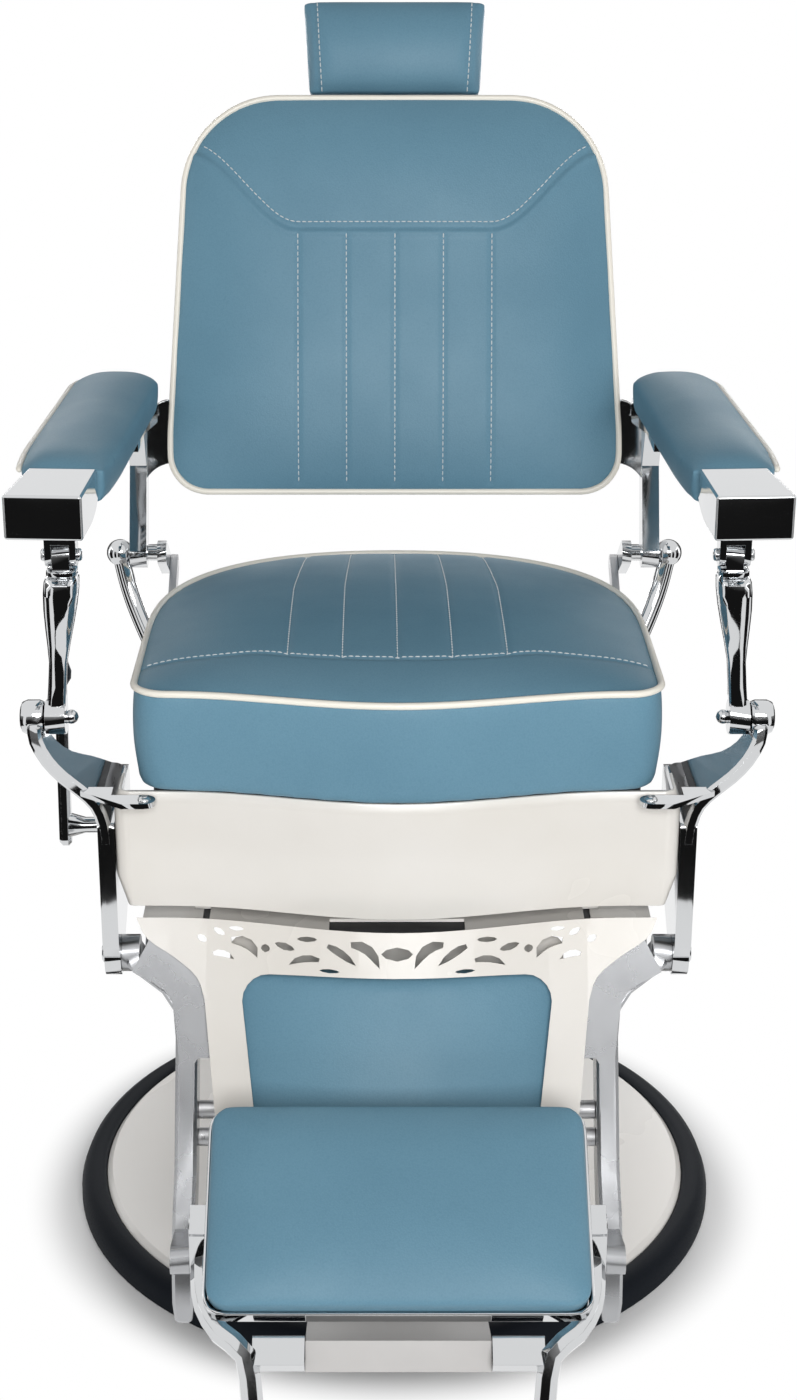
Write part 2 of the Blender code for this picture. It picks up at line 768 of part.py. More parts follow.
def pump():
    bore = RAM_R + RAM_WALL
    cylinder = [(0, 0), (FOOT_R, 0), (FOOT_R, FOOT_T), (CYLINDER_R, FOOT_T), (CYLINDER_R, CYLINDER_TOP)]
    cylinder += [(bore, CYLINDER_TOP), (bore, CYLINDER_FLOOR), (0, CYLINDER_FLOOR)]
    finish(turned(cylinder, COLUMN), "pump_cylinder", "chrome")
    skirt = CYLINDER_R + GAP
    outer = skirt + GLAND_WALL
    lip = CYLINDER_TOP + GLAND_LIP
    sleeve = RAM_R + GAP
    gland = [(skirt, CYLINDER_TOP - GLAND_SKIRT), (outer, CYLINDER_TOP - GLAND_SKIRT), (outer, lip - 0.006)]
    gland += [(outer - 0.006, lip), (sleeve, lip), (sleeve, CYLINDER_TOP + GAP), (skirt, CYLINDER_TOP + GAP)]
    finish(turned(gland, COLUMN, closed=True), "pump_gland", "chrome")
    head = HEAD_Z + HEAD_T
    tip = CARRIER_Z + CARRIER_T + GAP + CAP_T
    ram = [(0, RAM_FOOT), (RAM_R, RAM_FOOT), (RAM_R, HEAD_Z), (HEAD_R, HEAD_Z), (HEAD_R, head)]
    ram += [(SPIGOT_R, head), (SPIGOT_R, tip), (0, tip)]
    finish(turned(ram, COLUMN), "lift_ram", "chrome")
    low = CARRIER_Z + CARRIER_T + GAP
    bore = SPIGOT_R + GAP
    cap = [(bore, low), (CAP_R, low), (CAP_R, tip - 0.002), (CAP_R - 0.002, tip), (bore, tip)]
    finish(turned(cap, COLUMN, closed=True), "swivel_cap", "steel")


def pump_pedal():
    pivot = (PEDAL_Y, PEDAL_Z)
    seat = PLATE_SEAT_Z + GAP
    cheek_in = PEDAL_EYE_T / 2 + GAP
    cheek_out = cheek_in + PEDAL_CHEEK_T
    foot = 0.019
    yoke = box(-cheek_out, cheek_out, PEDAL_Y - foot, PEDAL_Y + foot, seat, seat + 0.005)
    for sign in (-1, 1):
        low, high = sorted((sign * cheek_in, sign * cheek_out))
        side = [(PEDAL_Y - foot, seat + 0.002), (PEDAL_Y + foot, seat + 0.002)]
        side += arc(pivot, PEDAL_EYE_R, 0, 180, 8)
        yoke = united(yoke, extruded(side, "X", low, high))
    pin = disc(pivot, PEDAL_PIN_R, "X", -cheek_out, cheek_out, 12)
    finish(united(yoke, pin), "pedal_bracket", "steel")
    eye = disc((0.0, 0.0), PEDAL_EYE_R, "X", -PEDAL_EYE_T / 2, PEDAL_EYE_T / 2)
    reach = PEDAL_REACH
    bend = Vector((0, reach * 0.87, 0.002))
    stub = Vector((0, reach, -PEDAL_DROP))
    route = [(0, 0.004, 0), (0, reach * 0.35, 0.006), (0, reach * 0.70, 0.006), bend, stub]
    lever = united(eye, tubed(route, PEDAL_ROD_R))
    lever = cut(lever, disc((0.0, 0.0), PEDAL_PIN_R + TURN_PLAY, "X", -PEDAL_EYE_T, PEDAL_EYE_T, 12))
    fall = (stub - bend).normalized()
    sleeve = [(PEDAL_ROD_R * 0.7, GAP), (PEDAL_PAD_R, GAP), (PEDAL_PAD_R + 0.0015, PEDAL_PAD_L / 2)]
    sleeve = [(0, GAP)] + sleeve + [(PEDAL_PAD_R, PEDAL_PAD_L - 0.004), (PEDAL_PAD_R - 0.004, PEDAL_PAD_L)]
    grip = turned(sleeve + [(0, PEDAL_PAD_L)], 12)
    turn = fall.to_track_quat("Z", "Y").to_matrix().to_4x4()
    grip.data.transform(Matrix.Translation(stub) @ turn)
    finish(lever, "pump_pedal", "chrome", pivot)
    finish(grip, "pedal_pad", "rubber", pivot)


# Seat frame

def seat_frame():
    half = RAIL_X + RAIL_T / 2 + 0.006
    corners = [(-half, -CARRIER_Y), (half, -CARRIER_Y), (half, CARRIER_Y), (-half, CARRIER_Y)]
    plate = extruded(filleted(corners, 0.04), "Z", CARRIER_Z, CARRIER_Z + CARRIER_T)
    bore = disc((0.0, 0.0), SPIGOT_R + TURN_PLAY, "Z", CARRIER_Z - 0.01, CARRIER_Z + CARRIER_T + 0.01, COLUMN)
    finish(cut(plate, bore), "carrier_plate", "steel")
    low = RAIL_X - RAIL_T / 2
    top = RAIL_Z + RAIL_H
    for side, sign in SIDES:
        edge = [(RAIL_FRONT, top), (RAIL_FRONT, TUBE_Z - 0.030), (-CARRIER_Y * 0.75, RAIL_Z)]
        edge += [(CARRIER_Y * 0.75, RAIL_Z), (RAIL_REAR, TUBE_Z - 0.030), (RAIL_REAR, top)]
        rail = extruded(filleted(edge, 0.010, 2), "X", low, low + RAIL_T)
        holes = [disc((y, TUBE_Z), TUBE_R + GAP, "X", low - 0.01, low + 0.02)
                 for y in (FRONT_TUBE_Y, REAR_TUBE_Y)]
        finish(cut(rail, *holes), "frame_rail_" + side, "steel", sign=sign)
    reach = FRAME_IN - GAP
    finish(disc((FRONT_TUBE_Y, TUBE_Z), TUBE_R, "X", -reach, reach), "front_tube", "steel")
    stop = RAIL_X + RAIL_T / 2 + 0.012
    finish(disc((REAR_TUBE_Y, TUBE_Z), TUBE_R, "X", -stop, stop), "rear_tube", "steel")
    return stop


def apron():
    top = CUSHION_Z - GAP
    low = top - APRON_H
    section = [(-APRON_SKIRT_IN, low), (0.0, low + APRON_SKIRT), (0.0, top - APRON_LIP), (-APRON_LIP_IN, top)]
    section += [(o - APRON_T, z) for o, z in reversed(section)]
    side = APRON_HALF - APRON_CORNER
    front = APRON_FRONT + APRON_CORNER
    plan = [(APRON_HALF, front + APRON_RETURN), (APRON_HALF, front + APRON_RETURN / 2)]
    plan += arc((side, front), APRON_CORNER, 0, -90, 5)
    plan += [(x, APRON_FRONT - bow(x, BOW_HALF)) for x in spread(side, -side, 17)[1:-1]]
    plan += arc((-side, front), APRON_CORNER, -90, -180, 5)
    plan += [(-APRON_HALF, front + APRON_RETURN / 2), (-APRON_HALF, front + APRON_RETURN)]
    rings = []
    for i, (x, y) in enumerate(plan):
        ahead = Vector(plan[min(i + 1, len(plan) - 1)])
        run = (ahead - Vector(plan[max(i - 1, 0)])).normalized()
        out = Vector((-run.y, run.x))
        if i in (0, len(plan) - 1):
            out = Vector((math.copysign(1.0, x), 0.0))
        rings.append([(x + out.x * o, y + out.y * o, z) for o, z in section])
    finish(lofted(rings), "apron", "cream")


def frame_strap(top, boss_x):
    """S-shaped strap of a side frame, from its top edge out to the post's boss."""
    middle = (FRAME_IN + FRAME_OUT) / 2
    run = boss_x - middle
    rise = POST_PIVOT.y - top
    # share of the run outward, share of the rise, and its front and rear edges from the frame's
    knots = ((0.0, -0.25, 0.0, 0.0), (0.03, 0.0, 0.0, -0.008), (0.13, 0.20, 0.001, -0.048),
             (0.34, 0.355, 0.003, -0.070), (0.58, 0.487, 0.007, -0.088), (0.79, 0.635, 0.013, -0.094),
             (0.94, 0.82, 0.019, -0.095), (0.97, 0.98, 0.024, -0.096))
    path = smooth_line(knots, 2)
    line = [Vector((middle + run * knot[0], top + rise * knot[1])) for knot in path]
    rings = []
    for i, at in enumerate(line):
        ahead = line[min(i + 1, len(line) - 1)] - line[max(i - 1, 0)]
        across = Vector((-ahead.y, ahead.x)).normalized() * STRAP_T / 2
        front = FRAME_FRONT + path[i][2]
        rear = FRAME_REAR + path[i][3]
        a = at + across
        b = at - across
        rings.append([(a.x, front, a.y), (b.x, front, b.y), (b.x, rear, b.y), (a.x, rear, a.y)])
    return softened(lofted(rings), 0.003, 1, 50.0)


def frame_lug():
    """Level tab of a side frame in front of the apron's corner."""
    top = CUSHION_Z - LUG_DROP
    rear = APRON_FRONT - GAP
    front = rear - LUG_D
    half = LUG_D / 2
    root = FRAME_IN + LUG_ROOT
    side = FRAME_IN + GAP / 2
    plan = [(root, FRAME_FRONT + half), (side, FRAME_FRONT + half), (side, rear)]
    plan += arc((FRAME_IN - LUG_L + half, front + half), half, 90, 270, 10)
    plan += [(FRAME_IN - half, front), (root, FRAME_FRONT)]
    return extruded(plan, "Z", top - LUG_T, top)


def side_frame(side, sign):
    top = CUSHION_Z - FRAME_TOP_DROP
    low = LEG_PIVOT.y
    edge = [(FRAME_FRONT, top), (FRAME_FRONT, low + FRAME_CHIN)]
    edge += [(LEG_PIVOT.x + end, low - FRAME_FOOT) for end in (-FRAME_FOOT_HALF, FRAME_FOOT_HALF)]
    edge += [(FRAME_REAR - FRAME_KNEE, low + FRAME_RISE - FRAME_KNEE), (FRAME_REAR, low + FRAME_RISE)]
    edge += [(FRAME_REAR, top)]
    casting = extruded(filleted(edge, 0.007, 3), "X", FRAME_IN, FRAME_OUT)
    casting = united(casting, disc(LEG_PIVOT, LEG_BOSS_R, "X", FRAME_IN, FRAME_OUT))
    boss_in = POST_X + POST_LEAN + POST_EYE_T / 2 + GAP
    boss_out = boss_in + POST_BOSS_L
    casting = united(casting, frame_strap(top, (boss_in + boss_out) / 2))
    boss = disc(POST_PIVOT, POST_BOSS_R, "X", boss_in, boss_out)
    casting = united(casting, softened(boss, POST_BOSS_ROUND, 2))
    casting = united(casting, frame_lug())
    leg_pin = disc(LEG_PIVOT, LEG_PIN_R, "X", LEG_EYE_IN, FRAME_IN + 0.004)
    knob_x = POST_X + POST_LEAN - POST_EYE_T / 2 - POST_PIN_KNOB_R * 0.7
    post_pin = disc(POST_PIVOT, POST_PIN_R, "X", knob_x, boss_in + 0.004, 12)
    knob = ball((knob_x, POST_PIVOT.x, POST_PIVOT.y), POST_PIN_KNOB_R)
    casting = united(casting, leg_pin, united(post_pin, knob))
    finish(casting, "side_frame_" + side, "chrome", sign=sign)


def rear_horn(side, sign, start):
    ball_x = BAR_OUT + GAP + BALL_R * 0.82
    end = Vector((ball_x, BACK_PIVOT.x, BACK_PIVOT.y))
    root = Vector((start + GAP, REAR_TUBE_Y, TUBE_Z))
    reach = end - root
    route = [root - Vector((HORN_R, 0, 0))]
    for shares in ((0.30, 0.0, 0.0), (0.66, 0.25, 0.16), (0.92, 0.60, 0.48)):
        route.append(root + reach * Vector(shares))
    route.append(end - Vector((0, 0.002, BALL_R * 0.4)))
    horn = united(tubed(route, HORN_R), ball(end, BALL_R))
    face = box(BAR_IN, BAR_OUT + GAP, end.y - 0.04, end.y + 0.04, end.z - 0.04, end.z + 0.04)
    butt = box(root.x - 0.02, root.x, root.y - 0.02, root.y + 0.02, root.z - 0.02, root.z + 0.02)
    pin = disc(BACK_PIVOT, BACK_PIN_R, "X", BAR_IN + 0.004, ball_x)
    finish(united(cut(horn, face, butt), pin), "rear_horn_" + side, "chrome", sign=sign)


# Arms and posts

def pillow(wide, deep, steps=ROUND):
    """Square ring with well-rounded corners."""
    ring = arc((0.0, 0.0), 1.0, 180 / steps, 360 - 180 / steps, steps - 1)
    return [(wide * math.copysign(abs(c) ** 0.6, c), deep * math.copysign(abs(s) ** 0.6, s)) for c, s in ring]


def arm_post(side, sign):
    span = ARM_LINK.length
    lean = ARM_LINK.x / ARM_LINK.y
    crown = span - CHEEK_R - POST_CLEAR
    # baluster: share of the height up to the collar's top, share of the width, share of the depth
    form = ((0.03, 0.56, 0.42), (0.22, 0.53, 0.40), (0.38, 0.53, 0.44), (0.50, 0.66, 0.58), (0.62, 0.81, 0.75),
            (0.74, 0.94, 0.91), (0.85, 1.0, 1.0), (0.925, 0.98, 0.96), (0.95, 0.90, 0.80), (0.957, 0.72, 0.55),
            (0.967, 0.88, 0.65), (0.993, 0.88, 0.65), (1.0, 0.80, 0.60))
    rings = []
    for share, wide, deep in form:
        z = crown * share
        centre = POST_X + POST_LEAN * (1.0 - share)
        ring = pillow(POST_HALF * wide, POST_DEEP * deep)
        rings.append([(centre + x, z * lean + y, z) for x, y in ring])
    post = lofted(rings)
    half = POST_EYE_T / 2
    foot = POST_X + POST_LEAN
    low_eye = disc((0.0, 0.0), POST_EYE_R, "X", foot - half, foot + half)
    half = CLEVIS_EYE_T / 2
    root = ARM_LINK * ((crown - POST_DEEP / 4) / span)
    stem = eye_bar(ARM_LINK, root, CLEVIS_EYE_R, CLEVIS_EYE_R - GAP)
    post = united(post, low_eye, extruded(stem, "X", POST_X - half, POST_X + half))
    holes = [disc((0.0, 0.0), POST_PIN_R + TURN_PLAY, "X", foot - 0.03, foot + 0.03, 12),
             disc(ARM_LINK, CLEVIS_PIN_R + OPEN_PLAY, "X", POST_X - 0.03, POST_X + 0.03, 12)]
    finish(cut(post, *holes), "arm_post_" + side, "chrome", POST_PIVOT, sign=sign)


def arm(side, sign):
    rear = ARM_REAR_PIVOT
    front = ARM_FRONT_PIVOT - rear
    low = ARM_RAIL_Z - rear.y
    top = low + ARM_RAIL_T
    box_back = ARM_FRONT + BOX_L - rear.x
    pad_rear = box_back + GAP + PAD_L
    stop = pad_rear - ARM_RAIL_STOP
    rail = box(ARM_X - ARM_RAIL_HALF, ARM_X + ARM_RAIL_HALF, box_back + GAP, stop, low, top)
    rail = softened(rail, 0.003, 1)
    under_box = PAD_Z + PAD_H + BOX_RISE - BOX_H - GAP - rear.y
    tongue_x = ARM_X + BOX_OUT
    tongue = box(tongue_x - TONGUE_HALF, tongue_x + TONGUE_HALF, box_back - TONGUE_L, front.x, low, under_box)
    rail = splayed(united(rail, tongue), front.x)
    cheek_in = CLEVIS_EYE_T / 2 + GAP
    outer = cheek_in + CHEEK_T
    root = low + ARM_RAIL_T / 3
    cheek = arc(front, CHEEK_R, 180, 360, 8) + [(front.x + CHEEK_R, root), (front.x - CHEEK_R, root)]
    for inner in (POST_X - outer, POST_X + cheek_in):
        rail = united(rail, extruded(cheek, "X", inner, inner + CHEEK_T))
    crotch = front.y + CHEEK_R + POST_CLEAR
    bridge = box(POST_X - outer, POST_X + outer, front.x - CHEEK_R, front.x + CHEEK_R, crotch, root)
    head = top - 0.001
    sole = low + 0.001
    lug_front = pad_rear - ARM_LUG_L
    lug = [(lug_front, head), (lug_front, sole), (stop - ARM_HEEL, sole)]
    lug += arc((0.0, 0.0), ARM_LUG_R, -110, 70, 10)
    lug_out = BAR_IN - GAP
    lug_in = lug_out - ARM_LUG_T
    lug = extruded(lug + [(stop, head)], "X", lug_in, lug_out)
    heel = box(lug_in, lug_out + ARM_HEEL, stop - 2 * ARM_HEEL, stop - 0.004, sole, head)
    lug = united(lug, heel)
    pin = disc((0.0, 0.0), BACK_PIN_R, "X", lug_out - 0.004, BAR_OUT - 0.004)
    hole = disc(front, CLEVIS_PIN_R + GAP, "X", POST_X - 0.04, POST_X + 0.04, 12)
    finish(cut(united(rail, bridge, lug, pin), hole), "arm_rail_" + side, "chrome", rear, sign=sign)

    half = [(CLEVIS_PIN_R, outer + GAP), (CLEVIS_KNOB_R, outer + GAP)]
    half += [(CLEVIS_KNOB_R, outer + CLEVIS_KNOB_L * 0.6)]
    half += [(CLEVIS_KNOB_R * 0.7, outer + CLEVIS_KNOB_L * 0.9), (0.0, outer + CLEVIS_KNOB_L)]
    pin = turned([(r, -z) for r, z in reversed(half)] + half, 12)
    pin.data.transform(Matrix.Translation((POST_X, front.x, front.y)) @ Matrix.Rotation(math.pi / 2, 4, "Y"))
    finish(pin, "clevis_pin_" + side, "chrome", rear, sign=sign)

    arm_box(side, sign, rear)
    arm_pad(side, sign, rear, box_back + GAP + PAD_SWELL)


def splayed(obj, post_y):
    """Turn an arm piece about the upright through its post, so that its rear comes inward."""
    centre = Matrix.Translation((ARM_X, post_y, 0.0))
    obj.data.transform(centre @ Matrix.Rotation(ARM_SPLAY, 4, "Z") @ centre.inverted())
    return obj


def arm_box(side, sign, rear):
    """Metal front of the arm: its underside is level, then curves up to the pad."""
    top = PAD_Z + PAD_H + BOX_RISE - rear.y
    low = top - BOX_H
    start = ARM_FRONT - rear.x
    inner = ARM_X + BOX_OUT - BOX_HALF
    rings = []
    for run in (0.0, BOX_FLAT, *[BOX_FLAT + (BOX_L - BOX_FLAT) * f for f in (0.35, 0.6, 0.8, 0.93, 1.0)]):
        t = max(run - BOX_FLAT, 0.0) / (BOX_L - BOX_FLAT)
        under = low + BOX_LIFT * (1.0 - math.sqrt(max(1.0 - t * t, 0.0)))
        outer = inner + 2 * BOX_HALF - BOX_NARROW * run / BOX_L
        y = start + run
        rings.append([(inner, y, under), (outer, y, under), (outer, y, top), (inner, y, top)])
    shell = splayed(softened(lofted(rings), BOX_EDGE, 2), ARM_FRONT_PIVOT.x - rear.x)
    finish(shell, "arm_box_" + side, "chrome", rear, sign=sign)


def arm_pad(side, sign, rear, start):
    floor = PAD_Z - rear.y
    grid = []
    places = [0.0, 0.01, 0.04, 0.12, 0.3, 0.5, 0.68, 0.80, 0.88, 0.94, 0.98, 0.997]
    for f in places:
        half = PAD_HALF * (1.0 - PAD_DRAW * max(1.0 - f / PAD_DRAW_L, 0.0) ** 2)
        round_from = 1.0 - PAD_HALF / PAD_L
        if f > round_from:
            half *= math.sqrt(max(1.0 - ((f - round_from) / (1.0 - round_from)) ** 2, 0.0))
        line = []
        for share in (-1.0, -0.9, -0.5, 0.0, 0.5, 0.9, 1.0):
            lift = (1.0 - abs(share) ** 3.5) * (1.0 - abs(f * 2 - 1) ** 12)
            line.append((ARM_X + half * share, start + PAD_L * f, floor + PAD_H + PAD_CROWN * lift))
        grid.append(line)
    pad = splayed(upholstered(grid, floor, PAD_SWELL, PAD_TUCK), ARM_FRONT_PIVOT.x - rear.x)
    finish(pad, "arm_pad_" + side, "vinyl", rear, sign=sign)


# Back

def back_half(v, inset=0.0):
    low = BACK_LOW
    top = BACK_LOW + BACK_LEN
    t = (v - low) / BACK_LEN
    half = BACK_HALF - BACK_TAPER * max(t - 0.15, 0.0) / 0.85
    if v < low + BACK_CORNER:
        half -= BACK_CORNER - math.sqrt(max(BACK_CORNER ** 2 - (low + BACK_CORNER - v) ** 2, 0.0))
    if v > top - BACK_SHOULDER:
        half -= BACK_SHOULDER - math.sqrt(max(BACK_SHOULDER ** 2 - (v - top + BACK_SHOULDER) ** 2, 0.0))
    return half - inset


def yoke_rise(x):
    """The yoke seam lies flat over the pleats and climbs in an S to each side."""
    flat = PLEAT_STEP * (PLEATS - 1) / 2
    t = min(max((abs(x) - flat) / (BACK_HALF - BACK_TAPER - flat), 0.0), 1.0)
    return YOKE_RISE * (3 * t ** 2 - 2 * t ** 3)


def back_cushion():
    low = BACK_LOW
    top = BACK_LOW + BACK_LEN
    seam = low + YOKE_H
    rows = [(low + BACK_CORNER * (1.0 - math.cos(math.radians(a))), 0.0) for a in (0, 26, 48, 68, 90)]
    rows += [(low + BACK_CORNER + (seam - low - BACK_CORNER) * f, f) for f in (0.35, 0.70)]
    rows += [(seam - PLEAT_HALF, 1.0), (seam, 1.0), (seam + PLEAT_HALF, 1.0)]
    seam_row = 8
    for a in (30, 46, 60, 73, 83, 90):
        f = 1.0 - math.sin(math.radians(a))
        rows.append((top - (top - seam) * f, f))
    grid = []
    for row, (v, share) in enumerate(rows):
        line = []
        count = len(pleat_columns(BACK_HALF))
        for index in range(count):
            height = v
            for _ in range(4):
                x = pleat_columns(back_half(height))[index]
                height = min(v + share * yoke_rise(x), top)
            half = back_half(height)
            t = (height - low) / BACK_LEN
            across = max(1.0 - abs(x / half) ** 3.5, 0.0)
            along = max(1.0 - abs(2 * t - 1) ** 4, 0.0)
            h = BACK_EDGE + BACK_CROWN * (across * along) ** 0.7
            if row == seam_row or (2 <= row < seam_row and on_pleat(index)):
                h -= PLEAT_D * min(1.0, 2.5 * across)
            line.append((x, height, h))
        grid.append(line)
    pad = stood_up(upholstered(grid, BACK_EDGE - BACK_THICK, 0.003, 0.003))
    finish(pad, "back_cushion", "vinyl", BACK_PIVOT, BACK_TILT)


def back_panel():
    low = BACK_LOW + PANEL_INSET
    top = BACK_LOW + BACK_LEN - PANEL_INSET
    levels = spread(low, low + BACK_CORNER, 5) + spread(top - BACK_SHOULDER + 0.02, top, 8)
    right = [(back_half(v, PANEL_INSET), v) for v in levels]
    outline = right + [(-x, v) for x, v in reversed(right)]
    panel = extruded(outline, "Y", PANEL_BACK, PANEL_BACK + PANEL_T)
    finish(panel, "back_panel", "black", BACK_PIVOT, BACK_TILT)


def back_bracket(side, sign):
    flange_y = PANEL_BACK + PANEL_T + GAP
    arm_eye = Vector(swung([ARM_LINK], BACK_TILT)[0])
    crank_eye = Vector(swung([CRANK], BACK_TILT)[0])
    bar = extruded(eye_bar((0.0, 0.0), (0.006, FLANGE_LOW), BAR_EYE_R, 0.013), "X", BAR_IN, BAR_OUT)
    web = [(flange_y + FLANGE_T, FLANGE_LOW), (flange_y + FLANGE_T, FLANGE_LOW + FLANGE_H)]
    web += [(flange_y - 0.012, FLANGE_LOW + FLANGE_H)]
    web += arc(arm_eye, ARM_LUG_R, 60, 240, 8) + [(-0.004, FLANGE_LOW - 0.010), (0.012, FLANGE_LOW - 0.020)]
    plate = extruded(web, "X", BAR_IN, BAR_OUT)
    outer = BAR_OUT - 0.002
    corners = [(FLANGE_IN, FLANGE_LOW + 0.008), (outer, FLANGE_LOW)]
    corners += [(outer, FLANGE_LOW + FLANGE_H), (FLANGE_IN, FLANGE_LOW + FLANGE_H - 0.008)]
    flange = extruded(filleted(corners, 0.004, 2), "Y", flange_y, flange_y + FLANGE_T)
    crank_in = LINK_OUT + GAP
    shaft = disc((0.0, 0.0), SHAFT_R, "X", crank_in, BAR_IN + 0.003)
    crank = eye_bar((0.0, 0.0), crank_eye, CRANK_R + 0.002, CRANK_R)
    crank = extruded(crank, "X", crank_in, crank_in + CRANK_T)
    pin = disc(crank_eye, CRANK_PIN_R, "X", LINK_IN, crank_in + 0.004, 12)
    bracket = united(bar, plate, flange, shaft, crank, pin)
    holes = [disc((0.0, 0.0), BACK_PIN_R + TURN_PLAY, "X", BAR_IN + 0.003, BAR_OUT + 0.01),
             disc(arm_eye, BACK_PIN_R + TURN_PLAY, "X", BAR_IN - 0.01, BAR_OUT - 0.003)]
    finish(cut(bracket, *holes), "back_bracket_" + side, "chrome", BACK_PIVOT, BACK_TILT, sign)


def recline_link(side, sign):
    run = LEG_PIVOT - BACK_PIVOT
    link = extruded(eye_bar((0.0, 0.0), run, LINK_R, LINK_R), "X", LINK_IN, LINK_OUT)
    holes = [disc((0.0, 0.0), CRANK_PIN_R + TURN_PLAY, "X", LINK_IN - 0.01, LINK_OUT + 0.01, 12),
             disc(run, CRANK_PIN_R + OPEN_PLAY, "X", LINK_IN - 0.01, LINK_OUT + 0.01, 12)]
    finish(cut(link, *holes), "recline_link_" + side, "steel", BACK_PIVOT + CRANK, sign=sign)


# Headrest

def headrest():
    back = PANEL_BACK + PANEL_T + GAP
    foot = SOCKET_TOP - SOCKET_H
    block = softened(box(-SOCKET_HALF, SOCKET_HALF, back, back + SOCKET_D, foot, SOCKET_TOP), 0.004)
    bar_y = back + SOCKET_WALL
    play = SLIDE_PLAY
    slot = box(-HEAD_BAR_HALF - play, HEAD_BAR_HALF + play, bar_y - play, bar_y + HEAD_BAR_T + play,
               foot - 0.02, SOCKET_TOP + 0.02)
    finish(cut(block, slot), "headrest_socket", "chrome", BACK_PIVOT, BACK_TILT)
    knob = [(0, 0), (KNOB_STEM_R, 0), (KNOB_STEM_R, KNOB_L * 0.23), (KNOB_R * 0.8, KNOB_L * 0.31)]
    knob += [(KNOB_R, KNOB_L * 0.5), (KNOB_R, KNOB_L * 0.81), (KNOB_R * 0.72, KNOB_L), (0, KNOB_L)]
    knob = turned(knob)
    place = Matrix.Translation((0, back + SOCKET_D + GAP, SOCKET_TOP - SOCKET_H / 2))
    knob.data.transform(place @ Matrix.Rotation(math.radians(-90), 4, "X"))
    finish(knob, "clamp_knob", "black", BACK_PIVOT, BACK_TILT)

    hinge = Vector((bar_y + HEAD_BAR_T / 2, HEAD_HINGE_V))
    bar = box(-HEAD_BAR_HALF, HEAD_BAR_HALF, bar_y, bar_y + HEAD_BAR_T, hinge.y - HEAD_BAR_L, hinge.y)
    bar = united(bar, disc(hinge, HEAD_EYE_R, "X", -HEAD_BAR_HALF, HEAD_BAR_HALF))
    bar = cut(bar, disc(hinge, HEAD_PIN_R + TURN_PLAY, "X", -0.03, 0.03, 12))
    finish(bar, "headrest_bar", "chrome", BACK_PIVOT, BACK_TILT)

    centre = BACK_PIVOT + Vector(swung([hinge], -BACK_TILT)[0])
    pad_back = HEAD_PAD_BACK + GAP - hinge.x
    cheek_in = HEAD_BAR_HALF + GAP
    cheek_out = cheek_in + HEAD_CHEEK_T
    half = HEAD_PLATE_HALF
    fork = box(-half, half, pad_back, pad_back + HEAD_PLATE_T, -HEAD_PLATE_H, HEAD_PLATE_H)
    fork = softened(fork, 0.0015, 1)
    root = pad_back + HEAD_PLATE_T / 2
    cheek = arc((0.0, 0.0), HEAD_EYE_R, -90, 90, 8) + [(root, HEAD_EYE_R), (root, -HEAD_EYE_R)]
    for low, high in ((-cheek_out, -cheek_in), (cheek_in, cheek_out)):
        fork = united(fork, extruded(cheek, "X", low, high))
    fork = united(fork, disc((0.0, 0.0), HEAD_PIN_R, "X", -cheek_out, cheek_out, 12))
    finish(fork, "headrest_bracket", "chrome", centre, BACK_TILT)

    grid = []
    for f in (0.0, 0.02, 0.10, 0.28, 0.5, 0.72, 0.90, 0.98, 1.0):
        line = []
        v = HEAD_PAD_LOW - hinge.y + HEAD_PAD_H * f
        for share in (-1.0, -0.95, -0.82, -0.7, -0.35, 0.0, 0.35, 0.7, 0.82, 0.95, 1.0):
            half = HEAD_PAD_HALF * (0.94 + 0.06 * f)
            roll = math.sqrt(max(1.0 - (2 * f - 1) ** 2 * 0.96, 0.0))
            end = 1.0 - abs(share) ** 10
            h = HEAD_PAD_EDGE + hinge.x + HEAD_PAD_CROWN * roll * end
            if abs(share) == 0.82:
                h -= PLEAT_D * 0.5 * roll
            line.append((half * share, v, h))
        grid.append(line)
    pad = stood_up(upholstered(grid, hinge.x - HEAD_PAD_BACK, 0.002, 0.006))
    finish(pad, "headrest_pad", "vinyl", centre, BACK_TILT)


# Leg rest: X, then -n and -s from the pivot

# Side edge of the panel: share of the way out from the waist, share of the way down to it
FLARE = ((1.0, 0.0), (0.843, 0.253), (0.443, 0.482), (0.115, 0.723), (0.0, 1.0))
# Outer edge of the casting's front: share of the way out to the eye, and s
SWEEP = ((0.74, 0.017), (0.57, 0.0226), (0.39, 0.0274), (0.18, 0.035), (0.06, 0.045), (0.0, 0.064))


def panel_flare():
    top = LEG_PANEL_TOP - LEG_PANEL_SHOULDER
    flare = LEG_PANEL_HALF - LEG_PANEL_WAIST
    return [(LEG_PANEL_WAIST + flare * out, top + LEG_PANEL_FLARE * down) for out, down in FLARE]


def leg_front(inward):
    """Broad front of a leg casting: it backs the panel's edge, then narrows to a strip."""
    outer = [(LEG_OUT + inward * out, s) for out, s in SWEEP]
    strip = LEG_OUT - STRIP_W
    outer += [(LEG_OUT - STRIP_W / 3, STRIP_FROM), (LEG_OUT - STRIP_W * 0.7, STRIP_LOW - STRIP_W)]
    outer += [(LEG_OUT - STRIP_W * 0.7, STRIP_LOW), (strip - STRIP_W * 0.7, STRIP_LOW)]
    inner = [(strip - STRIP_W * 0.7, STRIP_FROM + STRIP_W / 2), (strip - STRIP_W, STRIP_FROM)]
    inner += [(LEG_PANEL_WAIST - 2 * PANEL_LAP, STRIP_FROM)]
    inner += [(x - PANEL_LAP, s - PANEL_LAP) for x, s in reversed(panel_flare()[1:])]
    front = PANEL_OUT - LEG_PANEL_T - GAP
    outline = [(x, -s) for x, s in outer + inner]
    return extruded(outline, "Y", -front, CASTING_DEEP - front)


